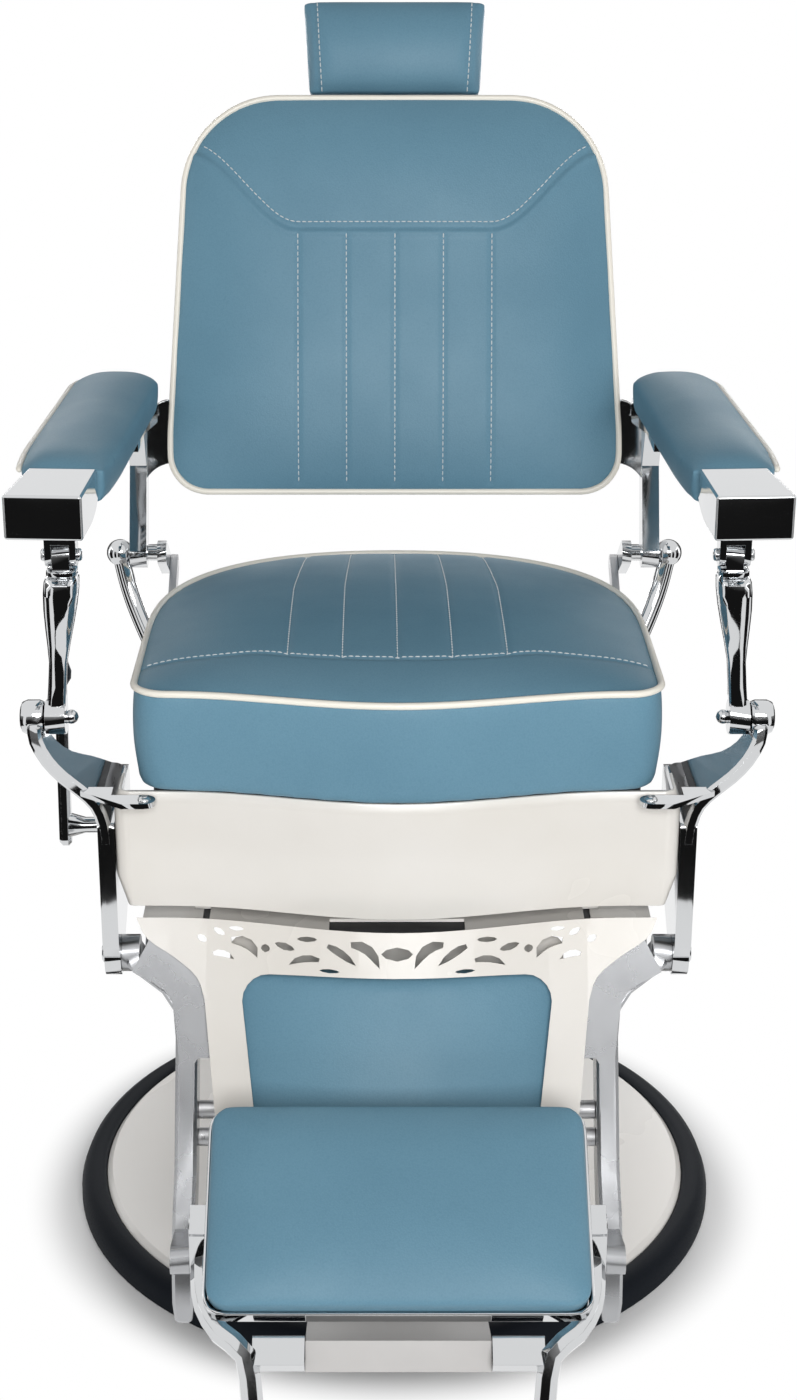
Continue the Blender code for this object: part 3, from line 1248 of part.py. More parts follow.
def leg_frame(side, sign):
    crank = Vector(swung([CRANK], LEG_TILT)[0])
    middle = (LEG_EYE_IN + LEG_EYE_OUT) / 2
    inward = middle - LEG_FRAME_X
    # s, n, share of the way in still to go, half width, half thickness
    form = ((0.000, 0.000, 1.00, 0.0150, 0.0080), (0.014, 0.003, 0.84, 0.0165, 0.0105),
            (0.026, 0.006, 0.50, 0.0175, 0.0130), (0.038, 0.008, 0.20, 0.0185, 0.0130),
            (0.054, 0.010, 0.03, 0.0195, 0.0115), (0.080, 0.012, 0.0, 0.0205, 0.0105),
            (0.205, 0.018, 0.0, 0.0215, 0.0105), (0.240, 0.032, 0.0, 0.0250, 0.0105),
            (0.290, 0.040, 0.0, 0.0260, 0.0105), (0.326, 0.042, 0.0, 0.0190, 0.0100),
            (LEG_LEN, 0.042, 0.0, 0.0090, 0.0080))
    rings = []
    for s, n, share, wide, thick in form:
        x = LEG_FRAME_X + inward * share
        thick = thick * LEG_FRAME_T / 0.021
        front = -n - wide
        rear = -n + wide
        a = x - thick
        b = x + thick
        rings.append([(a, front, -s), (b, front, -s), (b, rear, -s), (a, rear, -s)])
    leg = softened(lofted(rings), 0.003, 1, 60.0)
    leg = united(leg, leg_front(inward), disc((0.0, 0.0), LEG_EYE_R, "X", LEG_EYE_IN, LEG_EYE_OUT))
    lug = extruded(eye_bar((0.0, 0.0), crank, CRANK_R + 0.002, CRANK_R), "X", LEG_EYE_IN, LEG_EYE_OUT)
    pin = disc(crank, CRANK_PIN_R, "X", LINK_IN, LEG_EYE_IN + 0.004, 12)
    knuckle = Vector(swung([KNUCKLE - LEG_PIVOT], LEG_TILT)[0])
    root = Vector((-0.036, knuckle.y))
    ear = extruded(eye_bar(root, knuckle, KNUCKLE_R * 1.7, KNUCKLE_R), "X", LEG_IN, LEG_IN + 0.018)
    foot_pin = disc(knuckle, KNUCKLE_PIN_R, "X", LEG_IN - GAP - FOOT_EYE_T, LEG_IN + 0.004, 12)
    leg = united(leg, united(lug, pin), united(ear, foot_pin))
    leg = cut(leg, disc((0.0, 0.0), LEG_PIN_R + TURN_PLAY, "X", LEG_EYE_IN - 0.01, LEG_EYE_OUT + 0.01))
    finish(leg, "leg_frame_" + side, "chrome", LEG_PIVOT, LEG_TILT, sign)


def panel_top(x):
    return LEG_PANEL_TOP - LEG_PANEL_SHOULDER + bow(x, LEG_BOW_HALF, LEG_PANEL_SHOULDER)


def panel_out(x):
    return PANEL_OUT + bow(x, LEG_BOW_HALF)


def lens(x, d, length, width, turn=0.0):
    """Leaf-shaped hole: centre across and below the top edge, both ends pointed."""
    c = math.cos(math.radians(turn))
    s = math.sin(math.radians(turn))
    outline = []
    for i in range(8):
        t = i / 4
        a = length / 2 * math.cos(math.pi * t)
        b = width / 2 * math.sin(math.pi * t) * abs(math.sin(math.pi * t)) ** 0.4
        outline.append((x + a * c - b * s, d + a * s + b * c))
    return outline


def horn_hole(start, bend, end, width):
    """Curved hole that swells near its start and runs out to a point."""
    left = []
    right = []
    for t in (0.0, 0.25, 0.5, 0.75):
        at = Vector(start) * (1 - t) ** 2 + Vector(bend) * 2 * t * (1 - t) + Vector(end) * t ** 2
        run = (Vector(bend) - Vector(start)) * (1 - t) + (Vector(end) - Vector(bend)) * t
        reach = width / 2 * (0.45 + 2.2 * t * (1 - t)) * (1 - 0.35 * t)
        across = Vector((-run.y, run.x)).normalized() * reach
        left.append(tuple(at + across))
        right.append(tuple(at - across))
    return left + [tuple(end)] + right[::-1]


# Scrollwork of one half, in drawing units across from the middle and below the top edge
SCROLL_UNIT = Vector((0.00097, 0.00089))
SCROLL = (
    horn_hole((45, 14), (25, 12), (17, 38), 13), horn_hole((68, 17), (55, 22), (40, 36), 10),
    horn_hole((76, 33), (92, 29), (106, 41), 9), lens(66, 43.5, 20, 4.5), lens(88, 12, 20, 6, 4),
    lens(110, 22, 20, 8, -14), lens(129, 26, 9, 9), horn_hole((163, 21), (142, 18), (137, 37), 14),
    horn_hole((181, 37), (171, 33), (160, 41), 9), lens(158, 8, 15, 5), lens(175, 12.5, 13, 7, -30),
    lens(192, 21, 11, 8, -35),
)


def hole_cutters(outlines):
    bm = bmesh.new()
    for outline in outlines:
        face = bm.faces.new([bm.verts.new((x, -0.12, -s)) for x, s in outline])
        pushed = bmesh.ops.extrude_face_region(bm, geom=[face])
        moved = [g for g in pushed["geom"] if isinstance(g, bmesh.types.BMVert)]
        bmesh.ops.translate(bm, verts=moved, vec=(0, 0.12, 0))
    return shaped(bm)


def leg_panel():
    reach = LEG_PANEL_HALF + LEG_PANEL_T
    low = -LEG_PANEL_LOW - LEG_PANEL_CHIN
    rings = []
    for x in spread(-reach, reach, 15):
        front = -panel_out(x)
        back = front + LEG_PANEL_T
        rings.append([(x, front, 0.06), (x, back, 0.06), (x, back, low), (x, front, low)])
    sheet = lofted(rings)
    right = [(x, panel_top(x)) for x in spread(0.0, LEG_PANEL_HALF, 13)[:-1]]
    right += [(x, s) for x, s in smooth_line(panel_flare())]
    foot = LEG_PANEL_FOOT
    right += [(foot, LEG_PANEL_LOW - LEG_PANEL_CHIN), (foot - LEG_PANEL_CHIN, LEG_PANEL_LOW)]
    outline = right + [(-x, s) for x, s in reversed(right) if x > 0]
    sheet = kept_inside(sheet, hole_cutters([outline]))
    corner = WINDOW_CORNER
    dip = WINDOW_DIP
    edge = [(x, WINDOW_TOP - dip + bow(x, WINDOW_HALF, dip)) for x in spread(0.0, WINDOW_HALF - corner, 6)]
    edge += [(x, s) for x, s in arc((WINDOW_HALF - corner, WINDOW_TOP - dip + corner), corner, -90, 0, 5)[1:]]
    edge += [(WINDOW_FOOT, WINDOW_LOW - WINDOW_CHIN), (WINDOW_FOOT - WINDOW_CHIN, WINDOW_LOW)]
    window = edge + [(-x, s) for x, s in reversed(edge) if x > 0]
    holes = [window]
    for outline in (lens(0, 22.5, 31, 15), *SCROLL):
        drawn = [(x * SCROLL_UNIT.x, d * SCROLL_UNIT.y) for x, d in outline]
        holes.append([(x, panel_top(x) + d) for x, d in drawn])
        if min(x for x, d in drawn) > 0:
            holes.append([(-x, panel_top(x) + d) for x, d in drawn])
    sheet = cut(sheet, hole_cutters(holes))
    finish(united(sheet, panel_flange()), "leg_panel", "cream", LEG_PIVOT, LEG_TILT)


def panel_flange():
    """Level top of the leg panel, with a slot in the middle and an L-shaped notch at each end."""
    half = LEG_PANEL_HALF - TOP_FLANGE_SHORT
    run = TOP_FLANGE * math.cos(LEG_TILT)
    rise = TOP_FLANGE * math.sin(LEG_TILT)
    rings = []
    for x in spread(-half, half, 13):
        front = -panel_out(x) + LEG_PANEL_T / 2
        rear = front + run
        high = -panel_top(x) - TOP_FLANGE_T * 0.4
        low = high - TOP_FLANGE_T
        rings.append([(x, front, high), (x, rear, high + rise), (x, rear, low + rise), (x, front, low)])
    middle = SLOT_FROM - panel_out(0.0)
    openings = [box(-SLOT_HALF, SLOT_HALF, middle, middle + SLOT_D, -0.02, 0.08)]
    start = LEG_PANEL_T - panel_out(NOTCH_X)
    end = start + NOTCH_D
    turn = NOTCH_X + NOTCH_W
    toe = turn + NOTCH_FOOT
    notch = [(NOTCH_X, start), (turn, start), (turn, end - NOTCH_FOOT_D), (toe, end - NOTCH_FOOT_D)]
    notch += [(toe, end), (NOTCH_X, end)]
    for sign in (-1, 1):
        openings.append(extruded([(sign * x, y) for x, y in notch], "Z", 0.0, 0.08))
    return cut(lofted(rings), *openings)


def calf_rest():
    half = BOARD_HALF
    head = -LEG_PANEL_TOP - BOARD_TOP_DROP
    corners = [(-half, -BOARD_LOW), (half, -BOARD_LOW), (half, head), (-half, head)]
    board = extruded(filleted(corners, BOARD_CORNER, 3), "Y", -BOARD_OUT - BOARD_T, -BOARD_OUT)
    finish(board, "calf_board", "plywood", LEG_PIVOT, LEG_TILT)
    bar_y = -BOARD_OUT + GAP + LEG_BAR_R
    for name, s in zip(("upper", "lower"), LEG_BARS):
        bar = disc((bar_y, -s), LEG_BAR_R, "X", -LEG_IN + GAP, LEG_IN - GAP, 12)
        finish(bar, "leg_bar_" + name, "steel", LEG_PIVOT, LEG_TILT)
    low = BOARD_LOW - CALF_LOW_DROP
    top = WINDOW_TOP - CALF_MARGIN
    grid = []
    for f in (0.0, 0.04, 0.18, 0.5, 0.82, 0.96, 1.0):
        s = low + (top - low) * f
        line = []
        for share in (-1.0, -0.95, -0.8, -0.45, 0.0, 0.45, 0.8, 0.95, 1.0):
            x = (WINDOW_HALF + CALF_MARGIN) * share
            edge = (1.0 - abs(share) ** 8) * (1.0 - abs(2 * f - 1) ** 10)
            crown = panel_out(x) - LEG_PANEL_T - CALF_CLEAR
            base = BOARD_OUT + BOARD_T + CALF_EDGE_H
            line.append((x, -s, base + (crown - base) * max(edge, 0.0) ** 0.5))
        grid.append(line)
    pad = stood_up(upholstered(grid, BOARD_OUT + BOARD_T + GAP, 0.0, 0.002))
    finish(pad, "calf_pad", "vinyl", LEG_PIVOT, LEG_TILT)


# Footrest: X, then -q and p from the knuckles

def footrest():
    half = FOOT_HALF
    low = FOOT_LOW
    top = FOOT_LOW + FOOT_LEN
    shells = []
    mouth = -TRAY_FLOOR - TRAY_RIM
    for rim, near, far in ((TRAY_WALL + GAP, mouth, -TRAY_FLOOR), (GAP, mouth - 0.01, -TRAY_FLOOR - TRAY_T)):
        side = half + rim
        corners = [(-side, low - rim), (side, low - rim), (side, top + rim), (-side, top + rim)]
        shells.append(extruded(filleted(corners, FOOT_CORNER - TRAY_WALL + rim), "Y", near, far))
    finish(cut(*shells), "footrest_tray", "chrome", KNUCKLE, FOOT_TILT)

    floor = TRAY_FLOOR + TRAY_T + GAP
    corner = FOOT_CORNER - TRAY_WALL
    grid = []
    for f in (0.0, 0.08, 0.35, 1.0):
        grid.append(low + corner * f)
    grid += spread(low + corner, top - corner, 6)[1:-1]
    for f in (1.0, 0.35, 0.08, 0.0):
        grid.append(top - corner * f)
    rows = []
    for p in grid:
        nearest = min(p - low, top - p)
        width = half
        if nearest < corner:
            width -= corner - math.sqrt(corner ** 2 - (corner - nearest) ** 2)
        line = []
        for share in (-1.0, -0.94, -0.78, -0.4, 0.0, 0.4, 0.78, 0.94, 1.0):
            t = (p - low) / FOOT_LEN
            lift = (1.0 - abs(share) ** 6) * (1.0 - abs(2 * t - 1) ** 4)
            line.append((width * share, p, FOOT_EDGE + FOOT_CROWN * max(lift, 0.0) ** 0.6))
        rows.append(line)
    pad = stood_up(upholstered(rows, floor, 0.0, 0.001))
    finish(pad, "footrest_pad", "vinyl", KNUCKLE, FOOT_TILT)

    eye_out = LEG_IN - GAP
    eye_in = eye_out - FOOT_EYE_T
    centre = (eye_in + eye_out) / 2
    tray_back = TRAY_FLOOR - GAP
    seat = -tray_back + FOOT_SEAT_T
    seat_top = FOOT_SEAT_LOW + FOOT_SEAT_H
    tip = TREAD_HALF + GAP + FOOT_ARM_R + FOOT_ARM_OUT
    route = [(centre - 0.003, -0.004, 0.0), (centre - 0.005, -0.020, -0.030), (centre - 0.010, -0.030, -0.058),
             (centre - 0.024, -0.034, -0.082), (tip + 0.006, -0.033, -0.102), (tip, -0.012, -0.136)]
    for side, sign in SIDES:
        link = eye_bar((0.0, 0.0), (seat + FOOT_SEAT_T, FOOT_LINK_UP), KNUCKLE_R, FOOT_LINK_R)
        link = extruded(link, "X", eye_in, eye_out)
        foot = box(FOOT_HALF - FOOT_SEAT_W, eye_out - 0.001, -tray_back, seat, FOOT_SEAT_LOW, seat_top)
        ledge = box(TREAD_HALF + GAP, tip, LEDGE_OUT, LEDGE_OUT + LEDGE_T, LEDGE_LOW, LEDGE_LOW + LEDGE_H)
        limb = united(link, foot, tubed(route, FOOT_ARM_R), ledge)
        limb = cut(limb, disc((0.0, 0.0), KNUCKLE_PIN_R + TURN_PLAY, "X", eye_in - 0.01, eye_out + 0.01, 12))
        finish(limb, "footrest_arm_" + side, "chrome", KNUCKLE, FOOT_TILT, sign)
    foot_plate()


def foot_plate():
    """Sloping foot plate with a turned-down front lip."""
    front = TREAD_OUT
    head = TREAD_HEAD
    rear = front + TREAD_D
    chin = front + TREAD_LEAN
    tread = [(front, head - TREAD_T), (front + TREAD_T, head), (rear, head + TREAD_RISE)]
    tread += [(rear, head + TREAD_RISE - TREAD_T), (front + TREAD_T * 1.5, head - TREAD_T * 2)]
    tread += [(chin + TREAD_T, head - TREAD_LIP), (chin, head - TREAD_LIP - TREAD_T / 2)]
    finish(extruded(tread, "X", -TREAD_HALF, TREAD_HALF), "foot_plate", "steel", KNUCKLE, FOOT_TILT)


# Recline lever

def recline_lever():
    pivot = Vector((LEVER_Y, CUSHION_Z - LEVER_DROP))
    blade_in = FRAME_OUT + LEVER_X
    blade_out = blade_in + LEVER_T
    shaft = disc((0.0, 0.0), LEVER_SHAFT_R, "X", FRAME_OUT + GAP, blade_in + 0.004)
    flare = ((blade_in - LEVER_CONE_L, LEVER_SHAFT_R), (blade_in + 0.002, LEVER_CONE_R))
    cone = lofted([[(x, y, z) for y, z in arc((0.0, 0.0), r, 0, 330, 11)] for x, r in flare])
    way = Vector((math.sin(LEVER_LEAN), math.cos(LEVER_LEAN)))
    tip = way * LEVER_LEN
    nose = LEVER_W * 0.36
    blade = extruded(eye_bar(way * -LEVER_TAIL, tip, LEVER_W / 2, nose), "X", blade_in, blade_out)
    lever = united(softened(blade, 0.003, 1, 50.0), united(shaft, cone))
    finish(lever, "recline_lever", "chrome", pivot, sign=-1)
    end = way * (LEVER_LEN + nose + GAP)
    knob = [(0, 0), (LEVER_KNOB_R * 0.5, 0), (LEVER_KNOB_R * 0.95, LEVER_KNOB_L * 0.28)]
    knob += [(LEVER_KNOB_R, LEVER_KNOB_L * 0.55), (LEVER_KNOB_R * 0.7, LEVER_KNOB_L * 0.9), (0, LEVER_KNOB_L)]
    knob = turned(knob)
    turn = Matrix.Rotation(-LEVER_LEAN, 4, "X")
    knob.data.transform(Matrix.Translation((blade_in + LEVER_T / 2, end.x, end.y)) @ turn)
    finish(knob, "lever_knob", "black", pivot, sign=-1)


base_rim()
base_plate()
pump()
pump_pedal()
tube_end = seat_frame()
apron()
seat_pan()
seat_cushion()
back_panel()
back_cushion()
headrest()
leg_panel()
calf_rest()
footrest()
recline_lever()
for which, hand in SIDES:
    side_frame(which, hand)
    rear_horn(which, hand, tube_end)
    arm_post(which, hand)
    arm(which, hand)
    back_bracket(which, hand)
    recline_link(which, hand)
    leg_frame(which, hand)
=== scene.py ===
import json
import math

import bmesh
import bpy
import numpy as np
from mathutils import Matrix, Vector
from mathutils.bvhtree import BVHTree


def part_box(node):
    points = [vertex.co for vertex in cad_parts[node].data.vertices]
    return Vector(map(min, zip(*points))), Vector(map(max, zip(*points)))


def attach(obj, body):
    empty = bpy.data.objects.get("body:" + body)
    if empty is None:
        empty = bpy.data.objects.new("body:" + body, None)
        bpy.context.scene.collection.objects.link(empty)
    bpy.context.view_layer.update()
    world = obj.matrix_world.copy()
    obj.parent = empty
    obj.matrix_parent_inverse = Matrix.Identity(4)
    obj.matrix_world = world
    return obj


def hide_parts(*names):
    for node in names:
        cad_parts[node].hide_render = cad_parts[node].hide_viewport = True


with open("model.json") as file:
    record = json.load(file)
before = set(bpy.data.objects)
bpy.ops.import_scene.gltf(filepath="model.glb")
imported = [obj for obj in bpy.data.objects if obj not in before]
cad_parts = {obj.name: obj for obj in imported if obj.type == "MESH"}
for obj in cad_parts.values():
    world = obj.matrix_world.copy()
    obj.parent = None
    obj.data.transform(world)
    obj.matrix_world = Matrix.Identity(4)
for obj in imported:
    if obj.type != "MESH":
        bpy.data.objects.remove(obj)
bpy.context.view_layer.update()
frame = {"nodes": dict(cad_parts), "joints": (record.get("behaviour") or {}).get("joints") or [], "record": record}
nodes = frame["nodes"]
pivotOf = {j["name"]: Vector(j["pos_m"]) for j in frame["joints"] if "pos_m" in j}
scene = bpy.context.scene
sides = (("right", -1), ("left", 1))
print("frame:", len(nodes), "nodes")


# Camera and studio

shot = {"at": (-0.02, -2.30, 1.4755), "downDeg": 21.42, "focalPx": 2401.2, "framePx": (797, 1400),
        "middlePx": 376.0, "sensorMm": 24.0}
studio = {"aim": (0.0, 0.0, 0.7), "ambient": 0.16,
          "lamps": {"keySoftbox": ((0.30, -3.4, 1.95), 2.0, 112.0), "rearLeft": ((0.9, 2.0, 0.8), 1.0, 20.0),
                    "rearRight": ((-0.9, 2.0, 0.8), 1.0, 20.0), "leftSoftbox": ((2.4, 0.2, 1.05), 1.4, 10.0),
                    "rightSoftbox": ((-2.4, 0.2, 1.05), 1.4, 8.0)},
          "floorHalf": 40.0, "floorDrop": 0.0005, "floorColor": (0.90, 0.90, 0.90), "floorRough": 0.8,
          "floorShine": 0.1, "floorWhite": 1.0, "shadowFrom": 0.345, "shadowTo": 0.41}
flags = {"radius": 1.25, "low": 0.0, "high": 1.05, "darkTo": 0.64, "steps": 8, "dark": 0.010, "pale": 0.30,
         "spansDeg": ((238, 302), (314, 334), (206, 226), (348, 14), (166, 192), (34, 78), (102, 146))}


def makeCamera():
    data = bpy.data.cameras.new("photoCamera")
    data.sensor_fit = "AUTO"
    data.sensor_width = shot["sensorMm"]
    data.lens = shot["focalPx"] / shot["framePx"][1] * shot["sensorMm"]
    data.shift_x = (shot["framePx"][0] / 2 - shot["middlePx"]) / shot["framePx"][1]
    camera = bpy.data.objects.new("photoCamera", data)
    camera.location = shot["at"]
    camera.rotation_euler = (math.radians(90 - shot["downDeg"]), 0.0, 0.0)
    scene.collection.objects.link(camera)
    scene.camera = camera


def makeLamp(name, at, size, watts):
    data = bpy.data.lights.new(name, "AREA")
    data.size = size
    data.energy = watts
    lamp = bpy.data.objects.new(name, data)
    lamp.location = at
    lamp.rotation_euler = (Vector(studio["aim"]) - Vector(at)).to_track_quat("-Z", "Y").to_euler()
    scene.collection.objects.link(lamp)


def seenRays(tree):
    path = tree.nodes.new("ShaderNodeLightPath")
    first = tree.nodes.new("ShaderNodeMath")
    second = tree.nodes.new("ShaderNodeMath")
    second.use_clamp = True
    tree.links.new(path.outputs["Is Camera Ray"], first.inputs[0])
    tree.links.new(path.outputs["Is Glossy Ray"], first.inputs[1])
    tree.links.new(first.outputs[0], second.inputs[0])
    tree.links.new(path.outputs["Is Transmission Ray"], second.inputs[1])
    return second.outputs[0]


def makeWorld():
    world = bpy.data.worlds.new("studio")
    world.use_nodes = True
    tree = world.node_tree
    fill = tree.nodes["Background"]
    fill.inputs["Color"].default_value = (1, 1, 1, 1)
    fill.inputs["Strength"].default_value = studio["ambient"]
    white = tree.nodes.new("ShaderNodeBackground")
    white.inputs["Color"].default_value = (1, 1, 1, 1)
    mix = tree.nodes.new("ShaderNodeMixShader")
    tree.links.new(seenRays(tree), mix.inputs["Fac"])
    tree.links.new(fill.outputs[0], mix.inputs[1])
    tree.links.new(white.outputs[0], mix.inputs[2])
    tree.links.new(mix.outputs[0], tree.nodes["World Output"].inputs["Surface"])
    scene.world = world


def makeFloor():
    half = studio["floorHalf"]
    mesh = bpy.data.meshes.new("floor")
    corners = [(-half, -half, 0), (half, -half, 0), (half, half, 0), (-half, half, 0)]
    mesh.from_pydata(corners, [], [(0, 1, 2, 3)])
    floor = bpy.data.objects.new("floor", mesh)
    floor.location = (0, 0, -studio["floorDrop"])
    scene.collection.objects.link(floor)
    material = bpy.data.materials.new("paleFloor")
    material.use_nodes = True
    tree = material.node_tree
    matt = tree.nodes["Principled BSDF"]
    matt.inputs["Base Color"].default_value = (*studio["floorColor"], 1)
    matt.inputs["Roughness"].default_value = studio["floorRough"]
    matt.inputs["Specular IOR Level"].default_value = studio["floorShine"]
    glow = tree.nodes.new("ShaderNodeEmission")
    glow.inputs["Strength"].default_value = studio["floorWhite"]
    place = tree.nodes.new("ShaderNodeNewGeometry")
    far = tree.nodes.new("ShaderNodeVectorMath")
    far.operation = "LENGTH"
    share = tree.nodes.new("ShaderNodeMapRange")
    share.interpolation_type = "SMOOTHSTEP"
    share.inputs["From Min"].default_value = studio["shadowFrom"]
    share.inputs["From Max"].default_value = studio["shadowTo"]
    both = tree.nodes.new("ShaderNodeMath")
    both.operation = "MULTIPLY"
    mix = tree.nodes.new("ShaderNodeMixShader")
    tree.links.new(place.outputs["Position"], far.inputs[0])
    tree.links.new(far.outputs["Value"], share.inputs["Value"])
    tree.links.new(share.outputs["Result"], both.inputs[0])
    tree.links.new(seenRays(tree), both.inputs[1])
    tree.links.new(both.outputs[0], mix.inputs["Fac"])
    tree.links.new(matt.outputs[0], mix.inputs[1])
    tree.links.new(glow.outputs[0], mix.inputs[2])
    tree.links.new(mix.outputs[0], tree.nodes["Material Output"].inputs["Surface"])
    mesh.materials.append(material)


def asMesh(name, bm):
    mesh = bpy.data.meshes.new(name)
    bm.to_mesh(mesh)
    bm.free()
    return mesh


def makeFlags():  # dark studio boards that only the polished metal sees
    material = bpy.data.materials.new("flagBlack")
    material.use_nodes = True
    tree = material.node_tree
    where = tree.nodes.new("ShaderNodeNewGeometry")
    split = tree.nodes.new("ShaderNodeSeparateXYZ")
    rise = tree.nodes.new("ShaderNodeMapRange")
    rise.inputs["From Min"].default_value = flags["darkTo"]
    rise.inputs["From Max"].default_value = flags["high"]
    rise.inputs["To Min"].default_value = flags["dark"]
    rise.inputs["To Max"].default_value = flags["pale"]
    glow = tree.nodes.new("ShaderNodeEmission")
    tree.links.new(where.outputs["Position"], split.inputs[0])
    tree.links.new(split.outputs["Z"], rise.inputs["Value"])
    tree.links.new(rise.outputs["Result"], glow.inputs["Strength"])
    tree.links.new(glow.outputs[0], tree.nodes["Material Output"].inputs["Surface"])
    for number, (start, end) in enumerate(flags["spansDeg"]):
        span = (end - start) % 360
        bm = bmesh.new()
        columns = []
        for i in range(flags["steps"] + 1):
            a = math.radians(start + span * i / flags["steps"])
            x, y = flags["radius"] * math.cos(a), flags["radius"] * math.sin(a)
            columns.append((bm.verts.new((x, y, flags["low"])), bm.verts.new((x, y, flags["high"]))))
        for (a, b), (c, d) in zip(columns, columns[1:]):
            bm.faces.new((a, c, d, b))
        mesh = asMesh("flag%d" % number, bm)
        mesh.materials.append(material)
        board = bpy.data.objects.new("flag%d" % number, mesh)
        board.visible_camera = False
        board.visible_diffuse = False
        board.visible_shadow = False
        board.visible_transmission = False
        scene.collection.objects.link(board)


scene.view_settings.view_transform = "Standard"
scene.cycles.caustics_reflective = False  # no bright patches cast by the chrome
makeCamera()
makeWorld()
makeFloor()
makeFlags()
for lampName, (at, size, watts) in studio["lamps"].items():
    makeLamp(lampName, at, size, watts)
print("studio: camera, floor, flags, lamps")


# Finishes

vinyl = {"color": (0.136, 0.272, 0.360), "valley": (0.111, 0.232, 0.314), "shine": 0.20, "grainPerM": 620.0,
         "finePerM": 1900.0, "bumpM": 0.00022, "rough": (0.40, 0.52), "cloudPerM": 7.0}
piping = {"color": (0.86, 0.82, 0.73), "rough": (0.30, 0.42), "grainPerM": 900.0, "bumpM": 0.0001}
thread = {"color": (0.66, 0.70, 0.71), "rough": (0.6, 0.8), "grainPerM": 2600.0, "bumpM": 0.0002}
chrome = {"color": (0.64, 0.65, 0.66), "rough": (0.025, 0.075), "cloudPerM": 9.0, "wavePerM": 22.0,
          "bumpM": 0.0006}
castChrome = {**chrome, "color": (0.43, 0.437, 0.45), "rough": (0.22, 0.32)}
steel = {"color": (0.56, 0.56, 0.57), "shadeShare": 0.86, "rough": (0.26, 0.42), "brushPerM": (900.0, 30.0, 30.0),
         "bumpM": 0.0001}
enamel = {"color": (0.735, 0.71, 0.672), "shade": (0.69, 0.66, 0.61), "rough": (0.20, 0.30), "grainPerM": 260.0,
          "bumpM": 0.00008, "cloudPerM": 5.0, "coat": 0.35, "coatRough": 0.08}
whiteEnamel = {**enamel, "color": (0.90, 0.88, 0.85), "shade": (0.87, 0.84, 0.80)}
rubber = {"color": (0.004, 0.006, 0.009), "shade": (0.006, 0.008, 0.012), "rough": (0.50, 0.68),
          "grainPerM": 700.0, "bumpM": 0.00015, "shine": 0.09}
satin = {"color": (0.48, 0.467, 0.456), "rough": (0.30, 0.40), "cloudPerM": 14.0, "grainPerM": 900.0,
         "bumpM": 0.00005}
# painted shade: the seat pan is near-black so the hollow under the seat and its glimpse on the strap read dark
panPaintedShade = {"color": (0.030, 0.034, 0.040), "shade": (0.020, 0.022, 0.026), "rough": (0.55, 0.72),
            "grainPerM": (6.0, 90.0, 90.0), "bumpM": 0.0002}
boardPaint = {"color": (0.50, 0.48, 0.45), "shade": (0.42, 0.40, 0.37), "rough": (0.45, 0.6), "grainPerM": 300.0,
              "bumpM": 0.0001}
plywood = {"color": (0.45, 0.31, 0.18), "shade": (0.30, 0.19, 0.10), "rough": (0.55, 0.72),
           "grainPerM": (6.0, 90.0, 90.0), "bumpM": 0.0002}
knobBlack = {"color": (0.018, 0.018, 0.020), "shade": (0.030, 0.030, 0.033), "rough": (0.32, 0.46),
             "grainPerM": 1100.0, "bumpM": 0.00012}


def startMaterial(name, metallic=0.0):
    material = bpy.data.materials.new(name)
    material.use_nodes = True
    tree = material.node_tree
    shader = tree.nodes["Principled BSDF"]
    shader.inputs["Metallic"].default_value = metallic
    where = tree.nodes.new("ShaderNodeTexCoord")
    return material, tree, shader, where.outputs["Object"]


def noise(tree, where, perM, detail=3.0, rough=0.55):
    node = tree.nodes.new("ShaderNodeTexNoise")
    node.inputs["Detail"].default_value = detail
    node.inputs["Roughness"].default_value = rough
    if isinstance(perM, tuple):
        stretch = tree.nodes.new("ShaderNodeVectorMath")
        stretch.operation = "MULTIPLY"
        stretch.inputs[1].default_value = perM
        tree.links.new(where, stretch.inputs[0])
        where = stretch.outputs[0]
        perM = 1.0
    node.inputs["Scale"].default_value = perM
    tree.links.new(where, node.inputs["Vector"])
    return node.outputs["Fac"]


def pebbles(tree, where, perM):
    node = tree.nodes.new("ShaderNodeTexVoronoi")
    node.feature = "SMOOTH_F1"
    node.inputs["Scale"].default_value = perM
    node.inputs["Smoothness"].default_value = 0.6
    tree.links.new(where, node.inputs["Vector"])
    return node.outputs["Distance"]


def between(tree, factor, low, high, lowAt=0.3, highAt=0.7):
    node = tree.nodes.new("ShaderNodeMapRange")
    node.inputs["From Min"].default_value = lowAt
    node.inputs["From Max"].default_value = highAt
    node.inputs["To Min"].default_value = low
    node.inputs["To Max"].default_value = high
    tree.links.new(factor, node.inputs["Value"])
    return node.outputs["Result"]


def twoColors(tree, factor, first, second):
    node = tree.nodes.new("ShaderNodeMix")
    node.data_type = "RGBA"
    colorIn = [socket for socket in node.inputs if socket.type == "RGBA"]
    colorIn[0].default_value = (*first, 1)
    colorIn[1].default_value = (*second, 1)
    tree.links.new(factor, node.inputs["Factor"])
    return [socket for socket in node.outputs if socket.type == "RGBA"][0]


def dent(tree, shader, height, metres, strength=1.0):
    node = tree.nodes.new("ShaderNodeBump")
    node.inputs["Strength"].default_value = strength
    node.inputs["Distance"].default_value = metres
    tree.links.new(height, node.inputs["Height"])
    tree.links.new(node.outputs["Normal"], shader.inputs["Normal"])


def blended(tree, first, second, share):
    node = tree.nodes.new("ShaderNodeMath")
    node.operation = "MULTIPLY_ADD"
    node.inputs[1].default_value = share
    tree.links.new(first, node.inputs[0])
    tree.links.new(second, node.inputs[2])
    return node.outputs[0]


